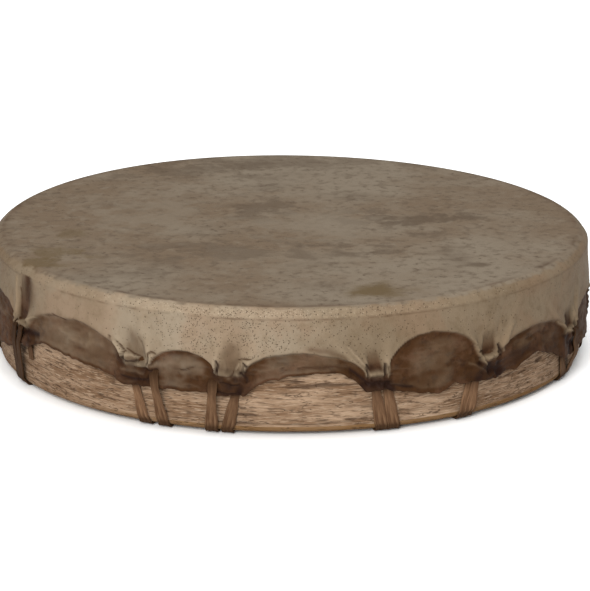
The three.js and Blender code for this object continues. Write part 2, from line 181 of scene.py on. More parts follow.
# Folds, curls and gashes round the slits and in the slack hide, each listed: its kind, its
# half width in mm, and the places it runs through (azimuth, height).
STROKE_KINDS = {  # how far it stands up (mm), and how dark, black and light it is
    # In the kinds that stand up, the light is a painted highlight; in creases, deep hollows and gashes, the
    # dark and black are painted shade.
    "ridge": (1.2, 0.0, 0.0, 0.75),
    "curl": (1.3, 0.0, 0.0, 0.62),
    "fold": (0.8, 0.0, 0.0, 0.22),
    "swell": (0.5, 0.0, 0.0, 0.08),
    "shade": (-0.2, 0.50, 0.0, 0.0),
    "crease": (-0.8, 0.95, 0.25, 0.0),
    "deep": (-1.0, 1.0, 0.25, 0.0),
    "gash": (-1.3, 0.0, 1.0, 0.0),
    "band": (-0.7, 1.0, 0.55, 0.0),
}
HIDE_STROKES = [
    ("deep", 7.4, ((-57.9, 78), (-58.1, 64), (-58.8, 54))),
    ("swell", 1.6, ((-57.4, 72), (-58.4, 62), (-58.2, 56))),
    ("ridge", 1.3, ((-62.3, 74), (-62.0, 58), (-62.2, 48), (-63.0, 41))),
    ("crease", 0.9, ((-60.9, 67), (-60.5, 54), (-59.6, 49))),
    ("ridge", 1.0, ((-61.6, 44), (-59.6, 46.3), (-57.4, 49), (-55.0, 53))),
    ("gash", 3.4, ((-65.5, 29), (-62.0, 35), (-58.5, 39.5), (-54.5, 41.0))),
    ("fold", 0.7, ((-63.5, 33.5), (-61.0, 35.5), (-59.0, 36.5))),
    ("shade", 2.6, ((-52.0, 56), (-48.5, 58), (-44.0, 58), (-41.0, 53))),
    ("crease", 0.8, ((-51.5, 56.8), (-49.0, 59.6), (-46.0, 58.0))),
    ("shade", 0.9, ((-44.2, 43), (-42.0, 40.5), (-38.5, 39.0), (-35.5, 38.5))),
    ("fold", 2.2, ((-47.5, 52), (-44.0, 47), (-41.5, 46))),
    ("fold", 1.6, ((-39.6, 54), (-39.0, 49), (-40.5, 44))),
    ("shade", 6.0, ((-29.6, 58), (-29.0, 52), (-28.8, 48))),
    ("shade", 1.3, ((-28.4, 58), (-27.3, 52), (-26.9, 45.5))),
    ("curl", 1.7, ((-33.4, 52.5), (-32.4, 48.5), (-31.8, 46))),
    ("crease", 0.7, ((-34.6, 55.5), (-33.8, 50), (-32.6, 45.5), (-31.6, 43))),
    ("crease", 0.5, ((-33.0, 54.2), (-31.3, 47.4), (-31.9, 45.8))),
    ("curl", 1.2, ((-31.3, 45.2), (-30.0, 45.6), (-28.6, 44.7))),
    ("crease", 0.7, ((-31.0, 48.8), (-29.6, 46.8), (-27.6, 44.4))),
    ("gash", 0.9, ((-32.4, 42.6), (-30.6, 41.4), (-28.2, 42.6))),
    ("fold", 1.1, ((-28.4, 42), (-27.0, 39.8), (-25.4, 40.4), (-24.8, 42.8))),
    ("gash", 0.8, ((-27.2, 38.2), (-26.0, 37.0), (-24.6, 38.4))),
    ("crease", 0.6, ((-26.3, 45.0), (-26.4, 48.0), (-25.7, 49.8), (-24.8, 48.8))),
    ("curl", 0.7, ((-25.6, 46.0), (-25.4, 48.2))),
    ("fold", 1.5, ((-31.8, 35.6), (-29.5, 36.2), (-27.4, 35.0))),
    ("gash", 1.5, ((-32.0, 31.0), (-28.8, 29.8), (-26.4, 31.0))),
    ("crease", 0.8, ((-21.7, 40.4), (-20.2, 40.2), (-19.2, 40.8), (-17.3, 43.0))),
    ("crease", 0.6, ((-20.1, 40.0), (-20.6, 37.4))),
    ("swell", 1.8, ((-22.4, 43.6), (-20.2, 43.4), (-18.6, 45.4))),
    ("shade", 5.2, ((-10.6, 57), (-11.0, 50), (-11.2, 42))),
    ("gash", 0.9, ((-13.3, 48.2), (-13.0, 44), (-13.1, 40.5))),
    ("fold", 2.2, ((-12.1, 48), (-11.6, 42.5), (-11.0, 38))),
    ("crease", 0.6, ((-12.9, 38.8), (-11.6, 37.4), (-10.4, 38.8), (-9.9, 43.4))),
    ("curl", 0.9, ((-9.7, 43.5), (-9.2, 47))),
    ("crease", 0.5, ((-9.5, 49.0), (-8.4, 50.3), (-7.0, 50.6))),
    ("gash", 0.9, ((-8.3, 47.4), (-7.6, 45.2))),
    ("gash", 1.8, ((-8.9, 41.2), (-8.0, 38.6), (-7.7, 36))),
    ("gash", 1.0, ((-13.6, 27.6), (-11.0, 27.0), (-9.0, 27.6))),
    ("gash", 0.8, ((-12.6, 34.5), (-10.6, 33.0), (-9.0, 33.8))),
    ("crease", 1.4, ((1.5, 45.0), (5.0, 45.2), (8.0, 45.2), (10.5, 43.4), (12.5, 39.5))),
    ("crease", 0.8, ((-1.6, 41.5), (-0.8, 43.4), (-2.4, 46.4))),
    ("shade", 2.4, ((3.5, 57.5), (7.0, 55.5), (10.0, 50.5))),
    ("swell", 1.4, ((-5.6, 42.0), (-3.4, 45.0), (-1.0, 47.4))),
    ("ridge", 0.9, ((10.4, 57.5), (12.3, 50), (13.5, 44.8))),
    ("gash", 0.8, ((13.7, 45.4), (14.3, 41.6))),
    ("curl", 1.9, ((14.7, 39.4), (15.7, 40.0), (16.5, 39.2))),
    ("gash", 1.0, ((17.1, 45.0), (17.2, 41), (17.4, 37.4))),
    ("ridge", 0.8, ((18.0, 46), (17.9, 36.2))),
    ("gash", 1.5, ((10.8, 42.4), (12.6, 37.4), (14.2, 32.4))),
    ("gash", 5.4, ((13.8, 33.0), (17.8, 31.0))),
    ("gash", 1.1, ((17.4, 32.0), (20.3, 29.4), (22.8, 27.2))),
    ("fold", 0.6, ((18.4, 31.4), (21.0, 29.2))),
    ("shade", 1.0, ((21.6, 43.0), (23.6, 45.8), (26.0, 45.6), (28.5, 47.0), (31.5, 45.0), (34.0, 40.5))),
    ("swell", 2.4, ((23.0, 36.5), (26.5, 38.5), (30.0, 36.5))),
    ("crease", 0.6, ((25.5, 31.5), (25.8, 25.0))),
    ("crease", 0.5, ((30.2, 32.6), (30.5, 28.2))),
    ("crease", 1.1, ((30.3, 28.4), (33.0, 27.2), (37.0, 25.2))),
    ("crease", 0.6, ((34.0, 35.0), (36.0, 32.0), (37.4, 28.6))),
    ("fold", 0.9, ((34.4, 37.0), (36.8, 33.0), (38.0, 29.4))),
    ("ridge", 1.0, ((35.4, 52), (36.2, 45), (37.3, 39), (38.3, 34))),
    ("gash", 0.6, ((36.6, 43.8), (37.9, 42.2))),
    ("curl", 2.1, ((38.7, 37.4), (39.8, 39.6), (40.9, 41.2))),
    ("gash", 1.4, ((41.3, 44.8), (41.7, 41), (42.2, 37))),
    ("ridge", 1.5, ((42.7, 40), (43.3, 48), (44.9, 57))),
    ("gash", 3.3, ((38.8, 30.4), (41.8, 29.6))),
    ("band", 3.4, ((42.5, 31.8), (46.0, 34.8), (49.5, 35.8), (52.2, 33.4))),
    ("band", 2.8, ((42.0, 28.0), (46.0, 30.4), (49.0, 33.4))),
    ("deep", 2.8, ((64.4, 44.5), (65.5, 40))),
    ("ridge", 0.9, ((60.0, 45), (63.0, 39), (65.0, 34.6), (68.6, 30))),
    ("ridge", 1.3, ((67.8, 48), (68.3, 40), (69.0, 33))),
    ("gash", 3.2, ((63.6, 27), (67.5, 24), (71.0, 26))),
    ("crease", 1.0, ((49.0, 43.0), (53.0, 44.0), (57.0, 41.5))),
    ("deep", 2.6, ((-86.6, 54), (-86.2, 46))),
    ("gash", 2.6, ((-88.0, 33), (-84.0, 34))),
    ("deep", 2.8, ((90.4, 56), (90.0, 46))),
    ("gash", 2.6, ((88.4, 33), (92.0, 31))),
    ("crease", 0.9, ((102.0, 44), (105.0, 46), (109.0, 41))),
    ("deep", 3.0, ((115.4, 55), (116.0, 47))),
    ("gash", 2.8, ((114.6, 34), (118.0, 33))),
    ("curl", 1.1, ((113.6, 50), (114.6, 45), (114.3, 42))),
    ("crease", 0.8, ((125.0, 47), (129.0, 49), (133.0, 44))),
    ("crease", 0.8, ((139.0, 50), (140.2, 45), (142.4, 43))),
    ("gash", 1.6, ((139.5, 32), (143.0, 33))),
    ("crease", 0.9, ((150.0, 40), (154.0, 43), (158.0, 41))),
    ("deep", 3.0, ((167.0, 62), (167.2, 48))),
    ("gash", 3.0, ((165.6, 35), (169.0, 33))),
    ("curl", 1.3, ((191.0, 51), (192.0, 46), (193.4, 44))),
    ("crease", 0.8, ((190.2, 52), (191.4, 45), (192.6, 42))),
    ("crease", 0.8, ((203.0, 43), (207.0, 46), (211.0, 44))),
    ("deep", 3.0, ((219.6, 58), (220.0, 48))),
    ("gash", 2.8, ((218.6, 36), (222.0, 34))),
    ("crease", 0.9, ((231.0, 42), (235.0, 48), (239.0, 45))),
    ("deep", 2.6, ((247.4, 56), (247.0, 47))),
    ("gash", 2.4, ((245.6, 34), (248.6, 32))),
    ("crease", 0.8, ((259.0, 42), (263.0, 45), (267.0, 43))),
]

LIP_RISE = 2.6
CURL_RISE = 2.5
SLACK = 0.4
TIE_RISE = 1.3
FOLD_RISE = 1.9
BUNCH_RISE = 2.2
BRIDGE_DEPTH = 4.5


def smooth(low, high, value):
    """0 below low, 1 above high and an S curve between."""
    t = np.clip((value - low) / (high - low), 0, 1)
    return t * t * (3 - 2 * t)


def hump(distance, width):
    return np.exp(-((distance / width) ** 2))


def mix(a, b, share):
    return a + (b - a) * share


def wrinkles(across, along, seed):
    """Smooth noise from -1 to 1 over two measures, each counted in wrinkles."""
    table = np.random.default_rng(seed).uniform(-1, 1, (64, 64))
    i, j = np.floor(across).astype(int), np.floor(along).astype(int)
    u, v = across - i, along - j
    u, v = u * u * (3 - 2 * u), v * v * (3 - 2 * v)
    low = mix(table[i % 64, j % 64], table[(i + 1) % 64, j % 64], u)
    high = mix(table[i % 64, (j + 1) % 64], table[(i + 1) % 64, (j + 1) % 64], u)
    return mix(low, high, v)


def around(azimuth, cell, height, tall, seed):
    """Wrinkles cell mm wide and tall mm high on the drum's side, joined where they meet at the back."""
    whole = 2 * math.pi * WOOD_RADIUS_HIGH / cell
    along = ((azimuth + 180) % 360) / 360
    up = height / tall + 9 + 0 * along
    return mix(wrinkles(along * whole, up, seed), wrinkles((along - 1) * whole, up, seed),
               smooth(0.93, 1, along))


def wood_radius(height):
    return mix(WOOD_RADIUS_LOW, WOOD_RADIUS_HIGH, np.clip(height / SIDE_TOP, 0, 1))


def worn(azimuth, height):
    facing = np.maximum(0, np.cos(np.radians(azimuth - WORN_DIP_AZIMUTH)))
    return height * (1 - WORN_DIP / DRUM_HEIGHT * facing ** 2)


def degrees_from(azimuth, centre):
    return (azimuth - centre + 180) % 360 - 180


def patch(azimuth, centre, half_width):
    """Nearness (0 to 1) to a stretch of the drum's side, in degrees."""
    return hump(degrees_from(azimuth, centre), half_width)


def stroke_mask(across, height, line, half_width):
    """Nearness (0 to 1) to a line of places on the drum's side, all in mm; thinner at its ends."""
    lengths = [math.dist(here, there) for here, there in zip(line, line[1:])]
    nearest, gone, walked = 1e3 + 0 * across, 0 * across, 0.0
    for (x, y), (to_x, to_y), length in zip(line, line[1:], lengths):
        share = np.clip(((across - x) * (to_x - x) + (height - y) * (to_y - y)) / length ** 2, 0, 1)
        away = np.hypot(across - x - share * (to_x - x), height - y - share * (to_y - y))
        gone = np.where(away < nearest, (walked + share * length) / sum(lengths), gone)
        nearest = np.minimum(away, nearest)
        walked += length
    return hump(nearest, half_width * (0.5 + 0.5 * np.sin(math.pi * np.clip(gone, 0.05, 0.95)) ** 0.5))


def draw_strokes(azimuth, height, rise, dark, knot, light):
    """Every stroke pressed into the hide's rise and its tones, where it passes near."""
    jog = 0.45 * around(azimuth, 3.5, height, 3.5, 91)
    lift = 0.45 * around(azimuth, 3.5, height, 3.5, 92)
    for kind, half_width, places in HIDE_STROKES:
        first = places[0][0]
        line = [(degrees_from(at, first) * MM_PER_DEGREE, high) for at, high in places]
        across = degrees_from(azimuth, first) * MM_PER_DEGREE + jog
        reach = 3 * half_width
        far_left = min(at for at, high in line) - reach
        far_right = max(at for at, high in line) + reach
        near = np.nonzero((across > far_left) & (across < far_right))[0]
        if not len(near):
            continue
        stands, darkness, blackness, lightness = STROKE_KINDS[kind]
        mask = stroke_mask(across[near], (height + lift)[near], line, half_width)
        rise[near] += stands * mask
        dark[near] = np.maximum(dark[near] * (1 - lightness * mask), darkness * mask)
        knot[near] = np.maximum(knot[near] * (1 - lightness * mask), blackness * mask)
        light[near] = np.maximum(light[near] * (1 - max(darkness, blackness) * mask), lightness * mask)
    return rise, dark, knot, light


class Skirt:
    """The skirt's lines, and the nearest tie, at each azimuth."""

    def __init__(self, azimuth):
        turned = TIE_AT[0] + (azimuth - TIE_AT[0]) % 360
        here = np.searchsorted(TIE_AT, turned, side="right") - 1
        after = (here + 1) % len(TIES)

        def of_tie(name, which):
            return np.array([tie[name] for tie in TIES], float)[which]

        def of_span(name):
            return np.array([span[name] for span in SPANS], float)[here]

        # A span runs from just outside the last slit to just outside the next.
        start = TIE_AT[here] + of_tie("apart", here) / 2 + 0.3
        end = TIE_AT[here] + SPAN[here] - of_tie("apart", after) / 2 - 0.3
        share = np.clip((turned - start) / (end - start), 0, 1)

        def off_peak(at):
            return np.abs(np.where(share < at, share / at - 1, (share - at) / (1 - at)))

        self.slit = mix(of_tie("slit", here), of_tie("slit", after), share)
        hem_at_ties = mix(of_tie("hem", here), of_tie("hem", after), share)
        self.swing = 1 - off_peak(of_span("swag_at")) ** of_span("full")
        bulge = np.sqrt(np.maximum(0, 1 - off_peak(of_span("arch_at")) ** 2))
        foot = self.slit - 3
        self.arch = mix(foot, of_span("arch"), bulge)
        uneven = 0.9 * around(azimuth, 10, 0, 1, 5) + 0.4 * around(azimuth, 3.5, 0, 1, 6)
        self.arch += np.minimum(1, bulge) * uneven
        self.hem = mix(hem_at_ties, of_span("swag"), self.swing)
        self.hem += 0.8 * around(azimuth, 7, 0, 1, 11) + 0.45 * around(azimuth, 2.4, 0, 1, 13)
        for at, half, lift in HEM_NICKS:
            self.hem += lift * patch(azimuth, at, half)
        self.between = (share <= 0) | (share >= 1)
        self.bulge = bulge
        self.dark, self.soft = of_span("dark"), of_span("soft")

        # The nearest tie, and how far it is to the left (mm).
        self.near = np.where(turned - TIE_AT[here] < SPAN[here] / 2, here, after)
        self.off = degrees_from(turned, TIE_AT[self.near]) * MM_PER_DEGREE

    def tie(self, name):
        return np.array([tie[name] for tie in TIES], float)[self.near]


def hide_form(azimuth, height, skirt):
    """How far the hide stands off the wood (mm), and its tones (0 to 1): slack and dark, with painted shade
    under the lip, in the hollow between the slits and along the hem; bunched and black, with painted shadow
    in the slits and painted shade in the bunch's creases; a painted highlight on drawn folds, lips and
    the bridge; and smoked."""
    off = skirt.off
    half_apart = skirt.tie("apart") * MM_PER_DEGREE / 2
    half_tie = half_apart + skirt.tie("width") / 2
    up = height - skirt.tie("slit")
    taut = smooth(skirt.arch - skirt.soft, skirt.arch + skirt.soft, height)
    step = smooth(skirt.arch - 0.9, skirt.arch + 1.1, height)
    above = np.clip((height - skirt.arch) / (SIDE_TOP - skirt.arch), 0, 1)
    low = np.clip((skirt.arch - height) / np.maximum(skirt.arch - skirt.hem, 1), 0, 1)
    above_slit = np.maximum(up, 0)

    # Taut hide: raised round the ties, with folds that fan up from the slits, finer rays between
    # them, and a hollow between the two slits.
    ridge, fold = 0, 0
    for side, slope in ((-1, skirt.tie("left")), (1, skirt.tie("right"))):
        crest = side * (half_apart + 1.2 + slope * above_slit)
        spread = 1.1 + 0.13 * above_slit
        ridge = ridge + hump(off - crest, spread) * np.exp(-above_slit / 15) * smooth(-5, 0, up)
        fold = fold + hump(off - crest - side * 3 * spread, 1.6 * spread) * np.exp(-above_slit / 11)
    tall = skirt.tie("tall")
    gone_up = np.clip(above_slit / tall, 0, 1)
    hollow_wide = half_apart * (0.92 - 0.25 * gone_up) + 0.05
    hollow_off = np.abs(off - skirt.tie("skew") * above_slit) / hollow_wide
    between_slits = (1 - smooth(0.62, 1.08, hollow_off)) * smooth(-0.8, 0.8, up)
    hollow = between_slits * (1 - smooth(0.30, 1.0, gone_up))
    fan = np.degrees(np.arctan2(off, above_slit + 8))
    reach = np.hypot(off, above_slit)
    rays = wrinkles(fan / 6 + 20, 3 + 7.0 * skirt.near, 31) * np.exp(-reach / 20)
    drawn_up = TIE_RISE * hump(off, 1.5 * half_tie) * np.exp(-above_slit / 26)
    lip = LIP_RISE * skirt.bulge * (1 - above) ** 2
    drawn = SLACK + lip + drawn_up + FOLD_RISE * ridge + 0.8 * fold + 0.6 * rays
    drawn = drawn - (TIE_RISE + 0.9) * hollow * skirt.tie("hollow")

    # Slack hide under the arch: flat under the lip, curling out to the hem, and wrinkled.
    curl = CURL_RISE * skirt.swing * low ** 1.5
    ruck = around(azimuth, 10, height, 8, 41) + 0.6 * around(azimuth, 5, height, 3.2, 43)
    fine_ruck = 1 - 2 * np.abs(around(azimuth, 6, height, 3.0, 44))
    slumped = SLACK + curl + (0.6 * ruck + 0.35 * fine_ruck) * smooth(0, 0.25, low)

    # Hide gathered into a bunch under the slits, thick with creases.
    ragged = 1.6 * around(azimuth, 4, height, 4, 57) + 2.4 * around(azimuth, 9, height, 9, 58)
    beside = 1 - smooth(0.80, 1.30, (np.abs(off) + ragged) / half_tie)
    below = 1 - smooth(-BRIDGE_DEPTH - 0.8, -BRIDGE_DEPTH + 0.8, up + 0.5 * ragged)
    no_bridge = 1 - smooth(-1.5, 1.5, up + ragged)
    bunch = beside * mix(no_bridge, below, np.minimum(1, 1.5 * skirt.tie("bridge")))
    gathers = 1 - 2.4 * np.abs(wrinkles(off / 3.4 + 30, height / 8 + 11 + skirt.near, 51) + 0.35 * ragged)
    folds = 1 - 2.2 * np.abs(wrinkles(off / 9 + 12, height / 3.6 + 5 + 3 * skirt.near, 52))
    gathers = np.clip(0.6 * gathers + 0.6 * folds, -1, 1)
    rise = mix(slumped, drawn, step) + bunch * (BUNCH_RISE + 0.9 * gathers)

    # A bridge of hide between the slits, raised and lightened with a painted highlight, and the slits
    # themselves: short gashes with raised lips, where the lace goes in behind the hide, blackened with
    # painted shadow.
    across_bridge = 1 - smooth(0.78, 1.0, np.abs(off) / half_apart)
    in_bridge = smooth(-BRIDGE_DEPTH - 0.6, -BRIDGE_DEPTH + 0.6, up) * (1 - smooth(-0.6, 0.8, up))
    bridge = across_bridge * in_bridge * skirt.tie("bridge")
    rise = rise + 0.8 * bridge
    gash, lips = 0, 0
    for side in (-1, 1):
        lean = 0.12 * side * up
        from_slit = np.hypot((off - side * half_apart - lean) / 0.85, up / 4.2)
        gash = gash + np.exp(-from_slit ** 2)
        lips = lips + hump(from_slit - 1.6, 0.5)
    rise = rise + 0.8 * lips * (1 - bunch) - 2.4 * gash

    # Tones.
    mottle = around(azimuth, 13, height, 6, 71) + 0.6 * around(azimuth, 5, height, 3, 72)
    # A reddish band low in the slack hide is its own colour; the darkening just under the lip of the taut
    # hide is painted shade.
    low_band_and_lip_shade = hump(low - 0.72, 0.25) * 0.12 + 0.10 * hump(low, 0.25)
    near_tie = np.exp(-np.maximum(0, np.abs(off) - half_tie) / 10)
    lip_shade = 0.14 * hump(low - 0.06, 0.10)
    mottle = 0.16 * mottle - 0.10 * fine_ruck
    dark = (1 - taut) * skirt.dark * (0.88 + low_band_and_lip_shade + lip_shade + mottle) + (1 - step) * 0.3 * near_tie
    # The sunk hollow between the slits is darkened, partly by smoke on the hide and partly by painted shade,
    # and is near black low down.
    hollow_smoke_and_shade = between_slits * skirt.tie("hollow") * np.clip(1.25 - 1.25 * gone_up, 0, 1)
    dark = np.maximum(dark, hollow_smoke_and_shade)
    # Painted shade: a dark line along the hem, where the hide curls under.
    hem_shade = smooth(0.90, 0.99, low)
    dark = np.clip(dark + 0.35 * hem_shade, 0, 1)
    # The bunch is near black: dark gathered hide, deepened with painted shade in the valleys of its gathers.
    knot = bunch * skirt.tie("bunch") * (0.72 - 0.38 * gathers)
    knot = knot + 0.35 * near_tie * smooth(0.45, 0.95, low) * skirt.tie("bunch") * (1 - bunch) * (1 - step)
    deep_hollow_smoke_and_shade = between_slits * (1 - smooth(0, 0.45, gone_up)) * np.maximum(0, skirt.tie("hollow") - 0.5)
    # Near black: the bunch, the slits as painted shadow and the deep hollow as painted shade, cleared where
    # the bridge's painted highlight lies.
    knot = np.clip(np.maximum(np.maximum(knot, gash), deep_hollow_smoke_and_shade), 0, 1) * (1 - 0.9 * bridge)
    # Painted highlight on the crests of the folds that fan up from the slits, on the raised lips, on the
    # raised rays and on the bridge.
    light = 0.8 * ridge * step * (1 - hollow) + 0.6 * bridge + 0.35 * lips * step
    light = light + 0.25 * np.maximum(rays, 0) * step
    smoke = hump(off / (1.6 * half_tie), 1) * np.exp(-above_slit / 16)
    smoke = smoke * step * (1 - 0.8 * np.minimum(ridge, 1))
    dark = dark * (1 - 0.7 * bridge)
    rise, dark, knot, light = draw_strokes(azimuth, height, rise, dark, knot, np.clip(light, 0, 1))
    return np.maximum(rise, 0.1), dark, knot, light, smoke


STEPS_PER_SPAN = 64
hide_steps = STEPS_PER_SPAN * len(TIES)
step_number = np.arange(hide_steps)
span_share = (step_number % STEPS_PER_SPAN) / STEPS_PER_SPAN
crowded = span_share - 0.55 * np.sin(2 * math.pi * span_share) / (2 * math.pi)
hide_azimuth = TIE_AT[step_number // STEPS_PER_SPAN] + SPAN[step_number // STEPS_PER_SPAN] * crowded
skirt = Skirt(hide_azimuth)
hide_turn = np.radians(hide_azimuth)

hide_rings = []
hide_tones = {"side": [], "dark": [], "knot": [], "light": [], "smoke": [], "pitted": [], "flecked": [],
              "side_shade": []}
pitted_front = patch(hide_azimuth, -12, 12) + 0.35 * patch(hide_azimuth, 6, 30)
# Painted shade: the hide is darkened and browned towards the sides, as if turned from the light, most at the
# far left and least on the left of the front, where the key lamp falls.
side_shade = 0.88 + 0.25 * patch(hide_azimuth, -85, 25) - 0.07 * patch(hide_azimuth, 62, 16)
facing_key = patch(hide_azimuth, -22, 34) * (1 + 0.15 * around(hide_azimuth, 22, 0, 1, 86))
side_shade = side_shade * (1 - facing_key)


def add_hide_ring(radius, height, side=0.0, dark=0.0, knot=0.0, light=0.0, smoke=0.0,
                  pitted=0.0, flecked=0.0):
    radius = radius + 0 * hide_turn
    settled = mix(height + 0 * hide_turn, worn(hide_azimuth, height), smooth(120, 190, radius))
    hide_rings.append(np.stack([radius * np.sin(hide_turn), -radius * np.cos(hide_turn),
                                FLOOR_TO_WOOD + settled], 1))
    for name, value in (("side", side), ("dark", dark), ("knot", knot), ("light", light),
                        ("smoke", smoke), ("pitted", pitted), ("flecked", flecked), ("side_shade", side_shade)):
        hide_tones[name].append(value + 0 * hide_turn)


def hide_outside(height):
    rise, *tones = hide_form(hide_azimuth, height, skirt)
    return wood_radius(height) + GAP + HIDE_THICKNESS + rise, tones


# The playing face, then the shoulder: a worn bevel between two creases darkened with painted shade. It
# carries a painted highlight at the front, and loses itself in the face and the side farther round.
edge_radius = WOOD_RADIUS_HIGH + GAP + HIDE_THICKNESS + SLACK - SHOULDER
top_crease = 0.40 + 0.55 * around(hide_azimuth, 30, 0, 1, 81) + 0.4 * around(hide_azimuth, 6, 0, 1, 82)
low_crease = 0.45 + 0.50 * around(hide_azimuth, 40, 0, 1, 83) + 0.5 * around(hide_azimuth, 5, 0, 1, 84)
top_crease, low_crease = np.clip(top_crease, 0, 1), np.clip(low_crease, 0, 1)
facing_front = patch(hide_azimuth, -6, 44)
face_edge = 0.16 + 0.22 * (1 - facing_front) + 0.10 * around(hide_azimuth, 9, 0, 1, 85)
face_edge = face_edge + 0.07 * around(hide_azimuth, 2.6, 0, 1, 87)
for radius in (4, 20, 45, 75, 105, 130, 152, 170, 182, 188):
    add_hide_ring(radius, DRUM_HEIGHT)
# The face dips into the top crease, which is darkened there with painted shade.
for short, drop, stain in ((5.5, 0, 0.08), (3.6, 0, 0.22), (2.2, 0, 0.42), (1.2, 0.03, 0.50),
                           (0.5, 0.10, 0.36), (-0.1, 0.25, 0.16), (-0.8, 0.60, 0.0)):
    add_hide_ring(edge_radius - short, DRUM_HEIGHT - drop, dark=stain * top_crease,
                  side=smooth(-0.10, 0.14, -short / SHOULDER - face_edge + 0.12))
BEVEL_STEPS = 8
for k in range(2, BEVEL_STEPS):
    part = k / BEVEL_STEPS
    belly = 0.55 * math.sin(math.pi * part)
    on_bevel = smooth(-0.10, 0.14, part - face_edge)
    speckle = around(hide_azimuth, 2.2, part * SHOULDER * 1.4, 1.6, 88)
    # The bevel's light is a painted highlight, strongest at the front, with pits and pale flecks on it.
    add_hide_ring(edge_radius + SHOULDER * part + belly, DRUM_HEIGHT - SHOULDER * part + belly, side=on_bevel,
                  light=np.clip(on_bevel * facing_front * (0.42 + 0.42 * speckle), 0, 1),
                  pitted=on_bevel * (0.12 + 0.5 * facing_front + 0.5 * pitted_front),
                  flecked=on_bevel * facing_front ** 3 * 0.9)
SIDE_RINGS = 66
for k in range(-3, SIDE_RINGS + 1):
    part = max(k, 0) / SIDE_RINGS
    height = mix(SIDE_TOP - 1.8, skirt.hem, part + 0.12 * part * (part - 1)) - 0.6 * min(k, 0)
    radius, tones = hide_outside(height)
    # The lower crease is pressed in and darkened with painted shade, most at the front.
    crease = low_crease * hump(height - (SIDE_TOP - 0.6), 0.55) * (0.35 + 0.65 * facing_front)
    tones[0] = np.maximum(tones[0], 0.75 * crease)
    if k == SIDE_RINGS:
        hem_radius, hem_tones = radius, tones
    pitted = (0.10 + pitted_front * smooth(42, 62, height)) * (1 - np.clip(1.5 * tones[0] + tones[1], 0, 1))
    add_hide_ring(radius - 0.35 * crease, height, 1.0, *tones, pitted)
# The hem rolls under; its rolled edge and its underside are darkened as painted shade.
for turn in (45, 90, 135):
    half = HEM_THICKNESS / 2
    add_hide_ring(hem_radius - half * (1 - math.cos(math.radians(turn))),
                  skirt.hem - half * math.sin(math.radians(turn)), 1.0,
                  np.maximum(hem_tones[0], 0.9), np.maximum(hem_tones[1], 0.3))
for part in (0, 0.06, 0.15, 0.3, 0.45, 0.6, 0.75, 0.88):
    height = mix(skirt.hem, SIDE_TOP - 3, part)
    radius = hide_outside(height)[0] - mix(HEM_THICKNESS, HIDE_THICKNESS, min(1, part * 8))
    add_hide_ring(np.maximum(radius, wood_radius(height) + GAP), height, 1.0, hem_tones[0])
add_hide_ring(WOOD_RADIUS_HIGH + GAP, SIDE_TOP - 1.6, 1.0)
add_hide_ring(WOOD_RADIUS_HIGH - SHOULDER + GAP / 2, DRUM_HEIGHT - HIDE_THICKNESS, 0.5)
for radius in (186, 150, 100, 50, 6):
    add_hide_ring(radius, DRUM_HEIGHT - HIDE_THICKNESS)


def turned_mesh(name, rings, tones, closes=False):
    """A mesh from rings of points (mm) round the drum. It ends in a pole at each end, or, when it
    closes, joins its last ring to its first."""
    points = np.concatenate(rings) * MM
    count, steps = len(rings), len(rings[0])
    following = np.roll(np.arange(steps), -1)
    quads = []
    for i in range(count if closes else count - 1):
        here, below = i * steps, ((i + 1) % count) * steps
        quads.append(np.stack([here + np.arange(steps), below + np.arange(steps),
                               below + following, here + following], 1))
    faces = np.concatenate(quads).tolist()
    if not closes:
        first, last = len(points), len(points) + 1
        centres = [rings[0].mean(0) * MM, rings[-1].mean(0) * MM]
        points = np.concatenate([points, centres])
        faces += [(first, int(j), int(following[j])) for j in range(steps)]
        foot = (count - 1) * steps
        faces += [(last, foot + int(following[j]), foot + int(j)) for j in range(steps)]
    mesh = bpy.data.meshes.new(name)
    mesh.from_pydata(points.tolist(), [], faces)
    for tone, values in tones.items():
        flat = np.concatenate(values)
        if not closes:
            flat = np.append(flat, [flat[0], flat[-1]])
        mesh.attributes.new(tone, "FLOAT", "POINT").data.foreach_set("value", flat.astype(np.float32))
    mesh.shade_smooth()
    mesh.update()
    made = bpy.data.objects.new(name, mesh)
    scene.collection.objects.link(made)
    return made


drumhead = turned_mesh("rawhide_drumhead", hide_rings, hide_tones)


def put(tree, kind, inputs=None, **settings):
    """A node with its settings, its inputs plain values or other nodes' outputs."""
    made = tree.nodes.new("ShaderNode" + kind)
    for name, value in settings.items():
        setattr(made, name, value)
    for name, value in (inputs or {}).items():
        socket = made.inputs[name]
        if isinstance(value, bpy.types.NodeSocket):
            tree.links.new(value, socket)
        elif isinstance(value, tuple) and len(value) == 3 and socket.type == "RGBA":
            socket.default_value = (*value, 1)
        else:
            socket.default_value = value
    return made


def blend(tree, share, first, second, how="MIX"):
    """Colours blended by share."""
    made = put(tree, "Mix", data_type="RGBA", blend_type=how)
    for index, value in ((0, share), (6, first), (7, second)):
        if isinstance(value, bpy.types.NodeSocket):
            tree.links.new(value, made.inputs[index])
        elif isinstance(value, tuple):
            made.inputs[index].default_value = (*value, 1)
        else:
            made.inputs[index].default_value = value
    return made.outputs[2]


def sum_of(tree, how, first, second, clamp=False):
    return put(tree, "Math", {0: first, 1: second}, operation=how, use_clamp=clamp).outputs[0]


def remap(tree, value, low, high, to_low=0.0, to_high=1.0):
    return put(tree, "MapRange", {"Value": value, "From Min": low, "From Max": high,
                                  "To Min": to_low, "To Max": to_high},
               interpolation_type="SMOOTHSTEP").outputs[0]


